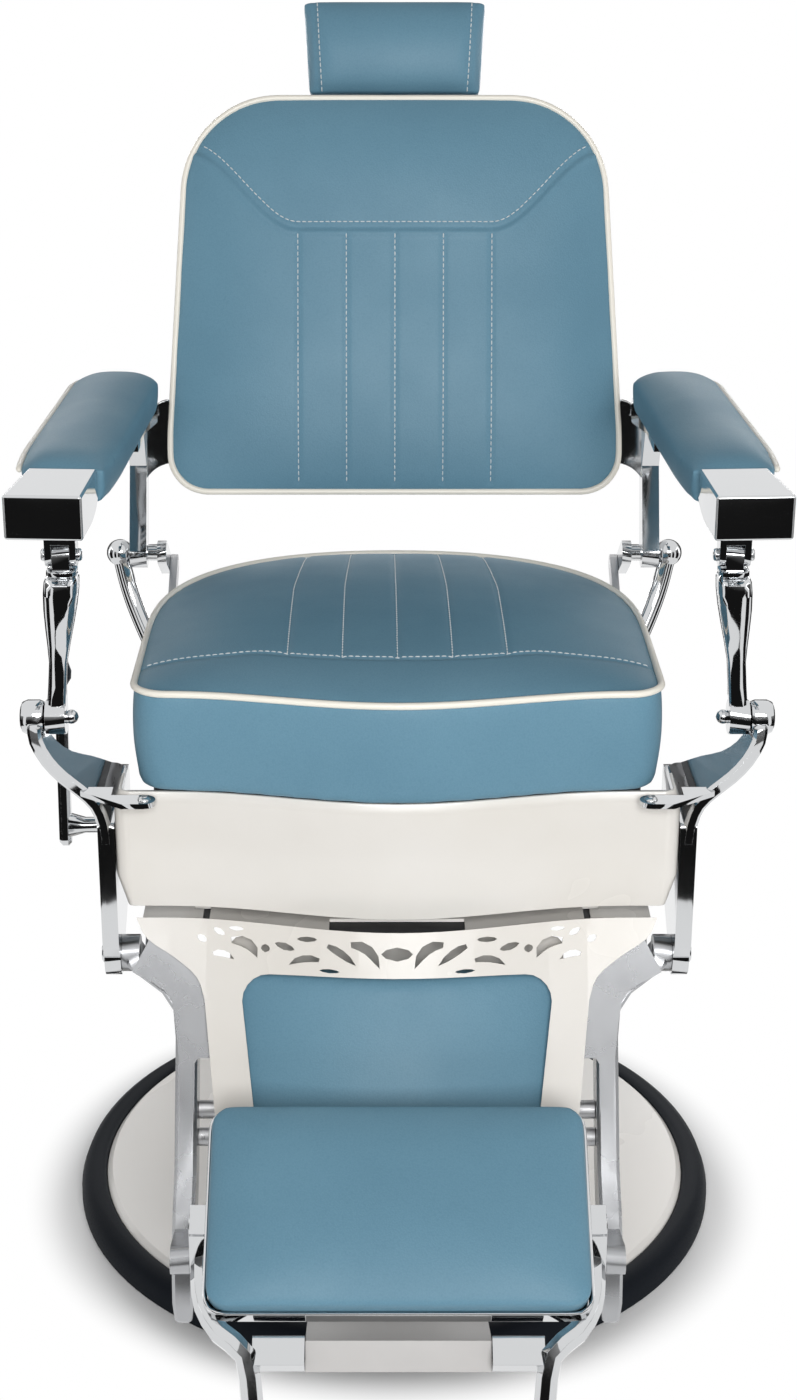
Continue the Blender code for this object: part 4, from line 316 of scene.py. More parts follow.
def vinylFinish():
    material, tree, shader, where = startMaterial("blueVinyl")
    grain = pebbles(tree, where, vinyl["grainPerM"])
    fine = noise(tree, where, vinyl["finePerM"])
    cloud = noise(tree, where, vinyl["cloudPerM"])
    tone = between(tree, blended(tree, grain, cloud, 0.5), 0.0, 1.0, 0.35, 1.0)
    tree.links.new(twoColors(tree, tone, vinyl["color"], vinyl["valley"]), shader.inputs["Base Color"])
    tree.links.new(between(tree, cloud, *vinyl["rough"]), shader.inputs["Roughness"])
    shader.inputs["Specular IOR Level"].default_value = vinyl["shine"]
    dent(tree, shader, blended(tree, fine, grain, 0.35), vinyl["bumpM"], 0.55)
    return material


def plainFinish(name, look, grained=True):
    material, tree, shader, where = startMaterial(name)
    grain = noise(tree, where, look["grainPerM"])
    cloud = noise(tree, where, look.get("cloudPerM", 9.0))
    shade = look.get("shade", tuple(0.93 * c for c in look["color"]))
    tone = between(tree, cloud, 0.0, 1.0)
    tree.links.new(twoColors(tree, tone, look["color"], shade), shader.inputs["Base Color"])
    tree.links.new(between(tree, grain if grained else cloud, *look["rough"]), shader.inputs["Roughness"])
    dent(tree, shader, grain, look["bumpM"], 0.6)
    if "shine" in look:
        shader.inputs["Specular IOR Level"].default_value = look["shine"]
    return material


def enamelFinish(name, look):
    material = plainFinish(name, look, grained=False)
    shader = material.node_tree.nodes["Principled BSDF"]
    shader.inputs["Coat Weight"].default_value = look["coat"]
    shader.inputs["Coat Roughness"].default_value = look["coatRough"]
    return material


def chromeFinish(name, look):
    material, tree, shader, where = startMaterial(name, 1.0)
    cloud = noise(tree, where, look["cloudPerM"], 4.0)
    shader.inputs["Base Color"].default_value = (*look["color"], 1)
    tree.links.new(between(tree, cloud, *look["rough"]), shader.inputs["Roughness"])
    dent(tree, shader, noise(tree, where, look["wavePerM"], 1.0), look["bumpM"], 0.35)
    return material


def steelFinish():
    material, tree, shader, where = startMaterial("brushedSteel", 1.0)
    brush = noise(tree, where, steel["brushPerM"], 2.0)
    shade = tuple(steel["shadeShare"] * c for c in steel["color"])
    tree.links.new(twoColors(tree, brush, steel["color"], shade), shader.inputs["Base Color"])
    tree.links.new(between(tree, brush, *steel["rough"]), shader.inputs["Roughness"])
    dent(tree, shader, brush, steel["bumpM"], 0.4)
    return material


finishOf = {"vinyl": vinylFinish(), "chrome": chromeFinish("chromePlate", chrome), "steel": steelFinish(),
            "cream": enamelFinish("creamEnamel", enamel), "rubber": plainFinish("rimRubber", rubber),
            "plywood": plainFinish("plywood", plywood), "black": plainFinish("knobBlack", knobBlack)}
pipingFinish = plainFinish("creamPiping", piping)
threadFinish = plainFinish("paleThread", thread)
# seat_pan takes the near-black painted shade finish
ownFinish = {"foot_plate": plainFinish("satinPlate", satin), "calf_board": plainFinish("boardPaint", boardPaint),
             "seat_pan": plainFinish("panPaintedShade", panPaintedShade), "base_plate": enamelFinish("whiteEnamel", whiteEnamel)}
ownFinish["leg_frame_left"] = ownFinish["leg_frame_right"] = chromeFinish("castChrome", castChrome)
print("finishes:", len(finishOf), "for slots,", len(ownFinish), "nodes unlike their slots")


# Metal and moulded pieces keep their solids, with eased edges, unless a piece below replaces them

edges = {"width": {"chrome": 0.0009, "steel": 0.0006, "cream": 0.0007, "rubber": 0.0010, "plywood": 0.0008,
                   "black": 0.0006}, "weld": 0.00002, "angleDeg": 38.0, "segments": 2}


def easeEdges(obj, width):
    weld = obj.modifiers.new("weld", "WELD")
    weld.merge_threshold = edges["weld"]
    bevel = obj.modifiers.new("edge", "BEVEL")
    bevel.width = width
    bevel.segments = edges["segments"]
    bevel.limit_method = "ANGLE"
    bevel.angle_limit = math.radians(edges["angleDeg"])
    bevel.use_clamp_overlap = True
    obj.data.shade_smooth()
    even = obj.modifiers.new("normals", "WEIGHTED_NORMAL")
    even.keep_sharp = False


slotOf = {row["node"]: row["material_slot"] for row in frame["record"]["subparts"]}
for nodeName, obj in nodes.items():
    obj.data.materials.clear()
    obj.data.materials.append(ownFinish.get(nodeName, finishOf[slotOf[nodeName]]))
    if slotOf[nodeName] in edges["width"]:
        easeEdges(obj, edges["width"][slotOf[nodeName]])
print("solids dressed:", len(slotOf))


# Shared making of covers, piping and stitches, in flat sizes: across, along, height

cover = {"voxel": 0.0048, "pressure": 4.0, "frames": 20, "quality": 4, "massKg": 0.3, "stretch": 18, "bend": 2.0,
         "pinNear": 0.0030, "edgeNear": 0.0045, "floorNear": 0.004, "faceBelow": 0.006, "relax": 4, "weltStep": 0.006}


def meshObject(name, mesh, place, body, material):
    mesh.transform(place)
    mesh.materials.clear()
    mesh.materials.append(material)
    mesh.shade_smooth()
    obj = bpy.data.objects.new(name, mesh)
    scene.collection.objects.link(obj)
    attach(obj, body)
    return obj


def aroundEdge(rows):
    return rows[0][:-1] + [row[-1] for row in rows[:-1]] + rows[-1][:0:-1] + [row[0] for row in rows[:0:-1]]


def skin(bm, rings, closed=False):  # faces from ring to ring, capped where the rings don't close
    around = len(rings[0])
    for first, second in zip(rings, rings[1:] + rings[:1] if closed else rings[1:]):
        for k in range(around):
            j = (k + 1) % around
            bm.faces.new((first[k], first[j], second[j], second[k]))
    if not closed:
        bm.faces.new(rings[0])
        bm.faces.new(rings[-1])


def sewnBlock(rows, floor, swell, tuck, borderRows=8):  # crowned face, swollen border, flat underside
    bm = bmesh.new()
    grid = [[bm.verts.new(p) for p in row] for row in rows]
    for low, high in zip(grid, grid[1:]):
        for i in range(len(low) - 1):
            bm.faces.new((low[i], low[i + 1], high[i + 1], high[i]))
    rim = aroundEdge(grid)
    count = len(rim)
    outward = []
    for i in range(count):
        run = rim[(i + 1) % count].co - rim[i - 1].co
        outward.append(Vector((run.y, -run.x, 0.0)).normalized())
    upper = rim
    for k in range(1, borderRows + 1):
        share = k / borderRows
        lower = []
        for vert, out in zip(rim, outward):
            point = vert.co + out * (swell * math.sin(math.pi * share) - tuck * share)
            point.z = vert.co.z + (floor - vert.co.z) * share
            lower.append(bm.verts.new(point))
        for i in range(count):
            j = (i + 1) % count
            bm.faces.new((upper[i], lower[i], lower[j], upper[j]))
        upper = lower
    bm.faces.new(list(reversed(upper)))
    bmesh.ops.recalc_face_normals(bm, faces=bm.faces)
    return asMesh("block", bm), [Vector(p) for p in aroundEdge(rows)]


def evaluated(mesh, setUp):
    obj = bpy.data.objects.new("work", mesh)
    scene.collection.objects.link(obj)
    setUp(obj)
    bpy.context.view_layer.update()
    graph = bpy.context.evaluated_depsgraph_get()
    made = bpy.data.meshes.new_from_object(obj.evaluated_get(graph))
    bpy.data.objects.remove(obj)
    return made


def remeshed(mesh, voxel):
    def setUp(obj):
        step = obj.modifiers.new("even", "REMESH")
        step.mode = "VOXEL"
        step.voxel_size = voxel
    return evaluated(mesh, setUp)


def finer(mesh):
    def setUp(obj):
        step = obj.modifiers.new("finer", "SUBSURF")
        step.levels = 1
        step.render_levels = 1
    return evaluated(mesh, setUp)


def coords(mesh):
    flat = np.zeros(len(mesh.vertices) * 3, np.float32)
    mesh.vertices.foreach_get("co", flat)
    return flat.reshape(-1, 3).astype(float)


def setCoords(mesh, points):
    mesh.vertices.foreach_set("co", points.astype(np.float32).ravel())
    mesh.update()


def awayFrom(points, line, closed=False):  # least distance of many points to one line
    line = np.array([tuple(p) for p in line], float)
    ends = np.roll(line, -1, axis=0) if closed else line[1:]
    starts = line if closed else line[:-1]
    least = np.full(len(points), 1e9)
    for a, b in zip(starts, ends):
        run = b - a
        share = np.clip((points - a) @ run / max(run @ run, 1e-12), 0, 1)
        least = np.minimum(least, np.linalg.norm(points - a - share[:, None] * run, axis=1))
    return least


def puffed(mesh, held, cap):  # air pressure fills the cover between its seams
    rest = coords(mesh)
    obj = bpy.data.objects.new("puff", mesh)
    scene.collection.objects.link(obj)
    group = obj.vertex_groups.new(name="sewn")
    group.add([int(i) for i in np.nonzero(held)[0]], 1.0, "REPLACE")
    step = obj.modifiers.new("cloth", "CLOTH")
    step.settings.quality = cover["quality"]
    step.settings.mass = cover["massKg"]
    step.settings.tension_stiffness = cover["stretch"]
    step.settings.compression_stiffness = cover["stretch"]
    step.settings.bending_stiffness = cover["bend"]
    step.settings.use_pressure = True
    step.settings.uniform_pressure_force = cover["pressure"]
    step.settings.effector_weights.gravity = 0
    step.settings.vertex_group_mass = "sewn"
    step.collision_settings.use_collision = False
    step.point_cache.frame_start = 1
    step.point_cache.frame_end = cover["frames"]
    for number in range(1, cover["frames"] + 1):
        scene.frame_set(number)
    graph = bpy.context.evaluated_depsgraph_get()
    moved = coords(obj.evaluated_get(graph).data) - rest
    scene.frame_set(1)
    bpy.data.objects.remove(obj)
    far = np.linalg.norm(moved, axis=1)
    moved *= np.minimum(1.0, cap / np.maximum(far, 1e-9))[:, None]
    setCoords(mesh, rest + moved)
    return mesh


def relaxed(mesh, held, rounds):
    bm = bmesh.new()
    bm.from_mesh(mesh)
    bm.verts.ensure_lookup_table()
    free = [bm.verts[int(i)] for i in np.nonzero(~held)[0]]
    for _ in range(rounds):
        bmesh.ops.smooth_vert(bm, verts=free, factor=0.5, use_axis_x=True, use_axis_y=True, use_axis_z=True)
    bm.to_mesh(mesh)
    bm.free()
    return mesh


def upholster(rows, floor, swell, tuck, seams, cap, voxel=cover["voxel"]):
    block, rim = sewnBlock(rows, floor, swell, tuck)
    mesh = remeshed(block, voxel)
    points = coords(mesh)
    edge = awayFrom(points, rim, closed=True)
    held = (edge < cover["edgeNear"]) | (points[:, 2] < floor + cover["floorNear"])
    lowRim = min(p.z for p in rim)
    face = points[:, 2] > lowRim - cover["faceBelow"]
    for seam in seams:
        held |= face & (awayFrom(points[:, :2], seam["line"]) < cover["pinNear"])
    mesh = puffed(mesh, held, cap)
    mesh = finer(relaxed(mesh, edge < cover["edgeNear"], cover["relax"]))
    points = coords(mesh)
    face = points[:, 2] > lowRim - cover["faceBelow"]
    for seam in seams:
        away = awayFrom(points[:, :2], seam["line"])
        points[:, 2] -= face * seam["depth"] * np.exp(-(away / seam["half"]) ** 2)
        if "roll" in seam:
            side = seam["below"](points)
            roll = np.exp(-((away - seam["rollAt"]) / seam["rollHalf"]) ** 2)
            points[:, 2] += face * side * seam["roll"] * roll
    setCoords(mesh, points)
    return mesh, rim


def evenly(points, step, closed=False):  # points at an even spacing along a line
    pts = [Vector(p) for p in points]
    if closed:
        pts.append(pts[0])
    run = [0.0]
    for a, b in zip(pts, pts[1:]):
        run.append(run[-1] + (b - a).length)
    count = max(2, round(run[-1] / step))
    made = []
    k = 0
    for i in range(count if closed else count + 1):
        target = run[-1] * i / count
        while k < len(run) - 2 and run[k + 1] < target:
            k += 1
        share = (target - run[k]) / max(run[k + 1] - run[k], 1e-9)
        made.append(pts[k].lerp(pts[k + 1], share))
    return made


def tubeMesh(lines, radius, closed=False, around=10, endShare=0.55):
    bm = bmesh.new()
    for line in lines:
        rings = []
        count = len(line)
        up = Vector((0.0, 0.0, 1.0))
        for i, point in enumerate(line):
            ahead = line[(i + 1) % count] if closed else line[min(i + 1, count - 1)]
            behind = line[i - 1] if closed else line[max(i - 1, 0)]
            run = (ahead - behind).normalized()
            across = run.cross(up).normalized()
            lift = across.cross(run)
            size = radius
            if not closed and i in (0, count - 1):
                size = radius * endShare
            rings.append([bm.verts.new(point + (across * math.cos(a) + lift * math.sin(a)) * size)
                          for a in (math.tau * k / around for k in range(around))])
        skin(bm, rings, closed)
    bmesh.ops.recalc_face_normals(bm, faces=bm.faces)
    return asMesh("tube", bm)


def dropped(tree, point, height=2.0):  # the point of the cover under a place
    hit, normal, _, _ = tree.ray_cast(Vector((point[0], point[1], height)), Vector((0, 0, -1)))
    return (hit, normal) if hit else (None, None)


sewing = {"stitch": 0.0046, "pitch": 0.0062, "radius": 0.00062, "sunk": 0.00005, "around": 6,
          "form": ((-1, -0.25), (-0.5, 0.55), (0.5, 0.55), (1, -0.25))}  # share of the half stitch, lift in radii


def stitchMesh(coverMesh, lines):
    bm = bmesh.new()
    bm.from_mesh(coverMesh)
    tree = BVHTree.FromBMesh(bm)
    bm.free()
    runs = []
    for line in lines:
        places = evenly([Vector((*p[:2], 0.0)) for p in line], sewing["pitch"])
        for a, b in zip(places, places[1:]):
            way = (b - a).normalized() * sewing["stitch"] / 2
            middle = (a + b) / 2
            ends = []
            for share, lift in sewing["form"]:
                hit, normal = dropped(tree, middle + way * share)
                if hit is None:
                    break
                ends.append(hit + normal * (sewing["radius"] * lift - sewing["sunk"]))
            if len(ends) == len(sewing["form"]):
                runs.append(ends)
    return tubeMesh(runs, sewing["radius"], around=sewing["around"])


def spread(low, high, count):
    return [low + (high - low) * i / (count - 1) for i in range(count)]


def sinSpread(count):  # close at both ends
    return [math.sin(math.pi / 2 * s) for s in spread(-1.0, 1.0, count)]


# Turned pieces, spun again from the solids' own profiles with a finer step

turnedNodes = ("base_rim", "base_plate", "pump_cylinder", "pump_gland", "lift_ram", "swivel_cap")
turning = {"steps": 120, "near": 0.00002, "digits": 5}
bodyOf = {node: body for body, names in frame["record"]["behaviour"]["bodies"].items() for node in names}


def profileOf(mesh):  # points of a turned solid on one side of its axis, in order, and whether they close
    near = turning["near"]
    digits = turning["digits"]
    kept = [v for v in mesh.vertices if abs(v.co.y) < near and v.co.x > -near]
    at = {v.index: (round(v.co.x, digits), round(v.co.z, digits)) for v in kept}
    links = {point: set() for point in at.values()}
    for edge in mesh.edges:
        a, b = (at.get(i) for i in edge.vertices)
        if a and b and a != b:
            links[a].add(b)
            links[b].add(a)
    ends = sorted(point for point in links if len(links[point]) == 1)
    line = [ends[0] if ends else min(links)]
    onward = sorted(links[line[0]])
    while onward:
        line.append(onward[0])
        onward = sorted(point for point in links[line[-1]] if point not in line)
    return line, not ends


def spunMesh(profile, closed=False, steps=turning["steps"]):
    bm = bmesh.new()
    turns = [math.tau * k / steps for k in range(steps)]
    rings = [[bm.verts.new((r * math.cos(a), r * math.sin(a), z)) for a in turns] for r, z in profile]
    skin(bm, rings, closed)
    bmesh.ops.recalc_face_normals(bm, faces=bm.faces)
    return asMesh("spun", bm)


for nodeName in turnedNodes:
    slot = slotOf[nodeName]
    spun = spunMesh(*profileOf(nodes[nodeName].data))
    look = ownFinish.get(nodeName, finishOf[slot])
    piece = meshObject(nodeName + "_turned", spun, Matrix.Identity(4), bodyOf[nodeName], look)
    easeEdges(piece, edges["width"][slot])
    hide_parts(nodeName)
print("turned pieces:", len(turnedNodes))


# Seat

seat = {"half": 0.2445, "front": -0.255, "rear": 0.188, "fall": 0.008, "wideY": -0.100, "corner": 0.032,
        "edgeH": 0.099, "crown": 0.030, "bow": 0.030, "bowHalf": 0.215, "seamY": -0.190, "pleats": 5,
        "pleatStep": 0.0515, "pleatDepth": 0.0016, "pleatHalf": 0.0030, "swell": 0.0035, "tuck": 0.002,
        "pipeR": 0.0034, "cap": 0.0045, "seamSag": 0.006, "sagAt": 1.25, "sagHalf": 0.03, "rearPower": 0.4545,
        "crownPower": 0.7, "roundFrom": 0.06, "pleatGap": 0.004, "pleatEnd": 0.012, "pleatDraw": 0.10,
        "stitchOff": 0.004, "stitchIn": 0.006, "pipeRise": 0.001, "voxel": 0.0054}
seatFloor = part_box("seat_cushion")[0].z


def bowOut(x, half, depth):
    return depth * (0.5 + 0.5 * math.cos(math.pi * x / half)) if abs(x) < half else 0.0


def seatHalf(y):
    half = seat["half"]
    front = seat["front"] + seat["corner"]
    if y < front:
        half -= seat["corner"] - math.sqrt(max(seat["corner"] ** 2 - (front - y) ** 2, 0.0))
    if y > seat["wideY"]:
        t = (y - seat["wideY"]) / (seat["rear"] - seat["wideY"])
        half = seat["half"] * max(1.0 - t ** 3, 0.0) ** seat["rearPower"]
    return half


def seatPoint(share, y):
    half = seatHalf(y)
    x = half * share
    t = (y - seat["front"]) / (seat["rear"] - seat["front"])
    across = 1.0 - abs(share) ** 3
    along = (1.0 - (1.0 - t) ** 6) * (1.0 - t ** 2.5)
    h = seatFloor + seat["edgeH"] - seat["fall"] * t + seat["crown"] * max(across * along, 0.0) ** seat["crownPower"]
    return (x, y - bowOut(x, seat["bowHalf"], seat["bow"]) * (1.0 - t) ** 2, h)


def seatSeam():  # cross seam: flat over the pleats, then back a little and forward again to the sides
    flat = seat["pleatStep"] * (seat["pleats"] - 1) / 2
    line = []
    for x in spread(-seat["half"], seat["half"], 61):
        t = (seat["seamY"] - seat["front"]) / (seat["rear"] - seat["front"])
        y = seat["seamY"] - bowOut(x, seat["bowHalf"], seat["bow"]) * (1.0 - t) ** 2
        y += seat["seamSag"] * math.exp(-((abs(x) - flat * seat["sagAt"]) / seat["sagHalf"]) ** 2)
        line.append((x, y))
    return line


def makeSeat():
    corner = [seat["front"] + seat["corner"] * (1 - math.cos(a)) for a in spread(0.0, math.pi / 2, 8)]
    bend = seat["roundFrom"]
    rows = corner + spread(corner[-1], bend, 24)[1:]
    rows += [bend + (seat["rear"] - bend) * math.sin(a) for a in spread(0.0, math.pi / 2 - 0.02, 22)][1:]
    grid = [[seatPoint(share, y) for share in sinSpread(41)] for y in rows]
    seam = seatSeam()
    pleats = []
    for i in range(seat["pleats"]):
        x = (i - (seat["pleats"] - 1) / 2) * seat["pleatStep"]
        start = min(seam, key=lambda p: abs(p[0] - x))[1]
        along = spread(start + seat["pleatGap"], seat["rear"] - seat["pleatEnd"], 40)
        pleats.append([(x * (1.0 - seat["pleatDraw"] * max(y, 0.0) / seat["rear"]), y) for y in along])
    seams = [{"line": line, "depth": seat["pleatDepth"], "half": seat["pleatHalf"]} for line in pleats]
    seams.append({"line": seam, "depth": seat["pleatDepth"], "half": seat["pleatHalf"] * 1.1})
    mesh, rim = upholster(grid, seatFloor, seat["swell"], seat["tuck"], seams, seat["cap"], seat["voxel"])
    cross = [(x, y + seat["stitchOff"]) for x, y in seam if abs(x) < seat["half"] - seat["stitchIn"]]
    stitches = stitchMesh(mesh, pleats + [cross])
    here = Matrix.Identity(4)
    pad = meshObject("seat_cover", mesh, here, "seat", finishOf["vinyl"])
    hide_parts("seat_cushion")
    welt = evenly([p + Vector((0, 0, seat["pipeRise"])) for p in rim], cover["weltStep"], closed=True)
    meshObject("seat_piping", tubeMesh([welt], seat["pipeR"], closed=True), here, "seat", pipingFinish)
    meshObject("seat_stitching", stitches, here, "seat", threadFinish)


makeSeat()
print("seat: cover, piping, stitching")


# Back, in its own tilted frame from the recline pivot: across, up the back, out of it

back = {"tiltDeg": 18.5, "low": 0.065, "length": 0.419, "half": 0.241, "taper": 0.021, "corner": 0.040,
        "shoulder": 0.095, "edge": 0.043, "thick": 0.073, "crown": 0.026, "yokeH": 0.279, "yokeRise": 0.085,
        "pleats": 5, "pleatStep": 0.0515, "pleatDepth": 0.0014, "pleatHalf": 0.0028, "swell": 0.003, "tuck": 0.003,
        "pipeR": 0.0034, "cap": 0.004, "roll": 0.0016, "rollAt": 0.0058, "rollHalf": 0.0034, "stitchOff": 0.0055,
        "taperFrom": 0.15, "sidePower": 3.6, "topPower": 4, "seatPower": 2.8, "crownPower": 0.7, "yokeIn": 0.02,
        "yokeDepth": 0.0020, "yokeHalf": 0.0030, "pleatGap": 0.006, "pleatEnd": 0.010, "stitchIn": 0.005,
        "pipeSunk": 0.0005, "voxel": 0.0052}


def standing(pivot, tiltDeg):
    return (Matrix.Translation(pivot) @ Matrix.Rotation(math.radians(-tiltDeg), 4, "X")
            @ Matrix.Rotation(math.radians(90), 4, "X"))


def backHalf(v):
    low = back["low"]
    top = low + back["length"]
    share = max((v - low) / back["length"] - back["taperFrom"], 0.0) / (1.0 - back["taperFrom"])
    half = back["half"] - back["taper"] * share
    for size, gap in ((back["corner"], v - low), (back["shoulder"], top - v)):
        if gap < size:
            half -= size - math.sqrt(max(size ** 2 - (size - gap) ** 2, 0.0))
    return half


def yokeRise(x):
    flat = back["pleatStep"] * (back["pleats"] - 1) / 2
    t = min(max((abs(x) - flat) / (back["half"] - back["taper"] - flat), 0.0), 1.0)
    return back["yokeRise"] * (3 * t ** 2 - 2 * t ** 3)


def backPoint(share, v):
    t = (v - back["low"]) / back["length"]
    across = max(1.0 - abs(share) ** back["sidePower"], 0.0)
    along = max(1.0 - abs(2 * t - 1) ** back["topPower" if t > 0.5 else "seatPower"], 0.0)  # rounder near the seat
    return (backHalf(v) * share, v, back["edge"] + back["crown"] * (across * along) ** back["crownPower"])


def makeBack():
    low = back["low"]
    top = low + back["length"]
    rows = [low + back["corner"] * (1 - math.cos(a)) for a in spread(0.0, math.pi / 2, 9)]
    rows += spread(low + back["corner"], top - back["shoulder"], 24)[1:-1]
    rows += [top - back["shoulder"] * (1 - math.cos(a)) for a in spread(math.pi / 2, 0.0, 15)]
    grid = [[backPoint(share, v) for share in sinSpread(41)] for v in rows]
    seam = low + back["yokeH"]
    reach = back["half"] - back["yokeIn"]
    yoke = [(x, seam + yokeRise(x)) for x in spread(-reach, reach, 81)]
    pleats = []
    for i in range(back["pleats"]):
        x = (i - (back["pleats"] - 1) / 2) * back["pleatStep"]
        pleats.append([(x, v) for v in spread(seam - back["pleatGap"], low + back["pleatEnd"], 40)])
    seams = [{"line": line, "depth": back["pleatDepth"], "half": back["pleatHalf"]} for line in pleats]
    riseOf = np.vectorize(yokeRise)
    seams.append({"line": yoke, "depth": back["yokeDepth"], "half": back["yokeHalf"], "roll": back["roll"],
                  "rollAt": back["rollAt"], "rollHalf": back["rollHalf"],
                  "below": lambda p: (p[:, 1] < seam + riseOf(p[:, 0])).astype(float)})
    mesh, rim = upholster(grid, back["edge"] - back["thick"], back["swell"], back["tuck"], seams, back["cap"],
                          back["voxel"])
    above = [(x, v + back["stitchOff"] * (1.0 + 0.35 * min(1.0, yokeRise(x) / 0.02))) for x, v in yoke]
    stitches = stitchMesh(mesh, pleats + [[p for p in above if abs(p[0]) < backHalf(p[1]) - back["stitchIn"]]])
    place = standing(pivotOf["recline"], back["tiltDeg"])
    pad = meshObject("back_cover", mesh, place, "backrest", finishOf["vinyl"])
    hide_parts("back_cushion")
    welt = evenly([p - Vector((0, 0, back["pipeSunk"])) for p in rim], cover["weltStep"], closed=True)
    meshObject("back_piping", tubeMesh([welt], back["pipeR"], closed=True), place, "backrest", pipingFinish)
    meshObject("back_stitching", stitches, place, "backrest", threadFinish)


makeBack()
print("back: cover, piping, stitching")


# Headrest, in the back's tilt from its own hinge

headrest = {"half": 0.098, "low": -0.049, "height": 0.098, "edge": 0.012, "behind": 0.040, "crown": 0.024,
            "hingeOut": 0.0556, "seamAt": 0.885, "swell": 0.002, "tuck": 0.006, "cap": 0.003, "lowWide": 0.94,
            "flare": 0.06, "rollShare": 0.96, "sidePower": 10, "seamDepth": 0.0012, "seamHalf": 0.0024,
            "stitchIn": 0.0035, "voxel": 0.0036}


def headrestHalf(f):
    return headrest["half"] * (headrest["lowWide"] + headrest["flare"] * f)


def makeHeadrest():
    grid = []
    front = headrest["edge"] + headrest["hingeOut"]
    for f in [0.5 + 0.5 * s for s in sinSpread(31)]:
        half = headrestHalf(f)
        roll = math.sqrt(max(1.0 - (2 * f - 1) ** 2 * headrest["rollShare"], 0.0))
        line = []
        for share in sinSpread(41):
            h = front + headrest["crown"] * roll * (1.0 - abs(share) ** headrest["sidePower"])
            line.append((half * share, headrest["low"] + headrest["height"] * f, h))
        grid.append(line)
    ends = []
    for sign in (-1, 1):
        ends.append([(sign * headrestHalf(f) * headrest["seamAt"], headrest["low"] + headrest["height"] * f)
                     for f in spread(0.01, 0.99, 20)])
    seams = [{"line": line, "depth": headrest["seamDepth"], "half": headrest["seamHalf"]} for line in ends]
    mesh, _ = upholster(grid, headrest["hingeOut"] - headrest["behind"], headrest["swell"], headrest["tuck"], seams,
                        headrest["cap"], headrest["voxel"])
    inner = [[(x - math.copysign(headrest["stitchIn"], x), v) for x, v in line] for line in ends]
    stitches = stitchMesh(mesh, inner)
    place = standing(pivotOf["headrest_tilt"], back["tiltDeg"])
    pad = meshObject("headrest_cover", mesh, place, "headrest", finishOf["vinyl"])
    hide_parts("headrest_pad")
    meshObject("headrest_stitching", stitches, place, "headrest", threadFinish)


makeHeadrest()
print("headrest: cover, stitching")


# Arm pads

armPad = {"half": 0.0435, "length": 0.359, "height": 0.033, "crown": 0.011, "swell": 0.0015, "tuck": 0.004,
          "draw": 0.14, "drawL": 0.25, "middleX": 0.302, "splayDeg": 3.0, "start": -0.212, "pipeR": 0.0034,
          "cap": 0.003, "gap": 0.0018, "postAhead": 0.410, "sidePower": 3.5, "endPower": 12, "pipeOut": 0.0024,
          "pipeDrop": 0.004, "pipeStop": 6, "voxel": 0.0042}


def armPlace(sign):
    postY = pivotOf["arm_level_left"].y - armPad["postAhead"]
    centre = Matrix.Translation((armPad["middleX"], postY, 0.0))
    turn = centre @ Matrix.Rotation(math.radians(armPad["splayDeg"]), 4, "Z") @ centre.inverted()
    return (Matrix.Scale(-1, 4, (1, 0, 0)) if sign < 0 else Matrix.Identity(4)) @ turn


def makeArmPad(side, sign):
    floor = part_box("arm_pad_" + side)[0].z
    start = armPad["start"] + armPad["gap"]
    roundFrom = 1.0 - armPad["half"] / armPad["length"]
    shares = spread(0.0, roundFrom, 34)
    shares += [roundFrom + (1.0 - roundFrom) * math.sin(a) for a in spread(0.0, math.pi / 2 - 0.03, 16)][1:]
    grid = []
    for f in shares:
        half = armPad["half"] * (1.0 - armPad["draw"] * max(1.0 - f / armPad["drawL"], 0.0) ** 2)
        if f > roundFrom:
            half *= math.sqrt(max(1.0 - ((f - roundFrom) / (1.0 - roundFrom)) ** 2, 0.0))
        line = []
        for share in sinSpread(21):
            lift = (1.0 - abs(share) ** armPad["sidePower"]) * (1.0 - abs(f * 2 - 1) ** armPad["endPower"])
            line.append((armPad["middleX"] + half * share, start + armPad["length"] * f,
                         floor + armPad["height"] + armPad["crown"] * lift))
        grid.append(line)
    mesh, _ = upholster(grid, floor, armPad["swell"], armPad["tuck"], [], armPad["cap"], armPad["voxel"])
    edge = [Vector(row[-1]) for row in grid[1:-armPad["pipeStop"]]]
    welt = evenly([p + Vector((armPad["pipeOut"], 0, -armPad["pipeDrop"])) for p in edge], cover["weltStep"])
    pipe = tubeMesh([welt], armPad["pipeR"])
    place = armPlace(sign)
    if sign < 0:
        mesh.flip_normals()
        pipe.flip_normals()
    pad = meshObject("arm_cover_" + side, mesh, place, "arm_" + side, finishOf["vinyl"])
    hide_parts("arm_pad_" + side)
    meshObject("arm_piping_" + side, pipe, place, "arm_" + side, pipingFinish)


for side, sign in sides:
    makeArmPad(side, sign)
print("arm pads: covers, piping")


# Calf pad, in the leg's tilted frame: across, up the leg, out of it

calf = {"tiltDeg": 25.0, "half": 0.1555, "low": -0.182, "top": -0.014, "floor": 0.0303, "base": 0.036,
        "panelOut": 0.0405, "panelT": 0.004, "behind": 0.003, "bow": 0.030, "bowHalf": 0.220, "tuck": 0.002,
        "cap": 0.002, "sidePower": 8, "endPower": 10, "crownPower": 0.5}


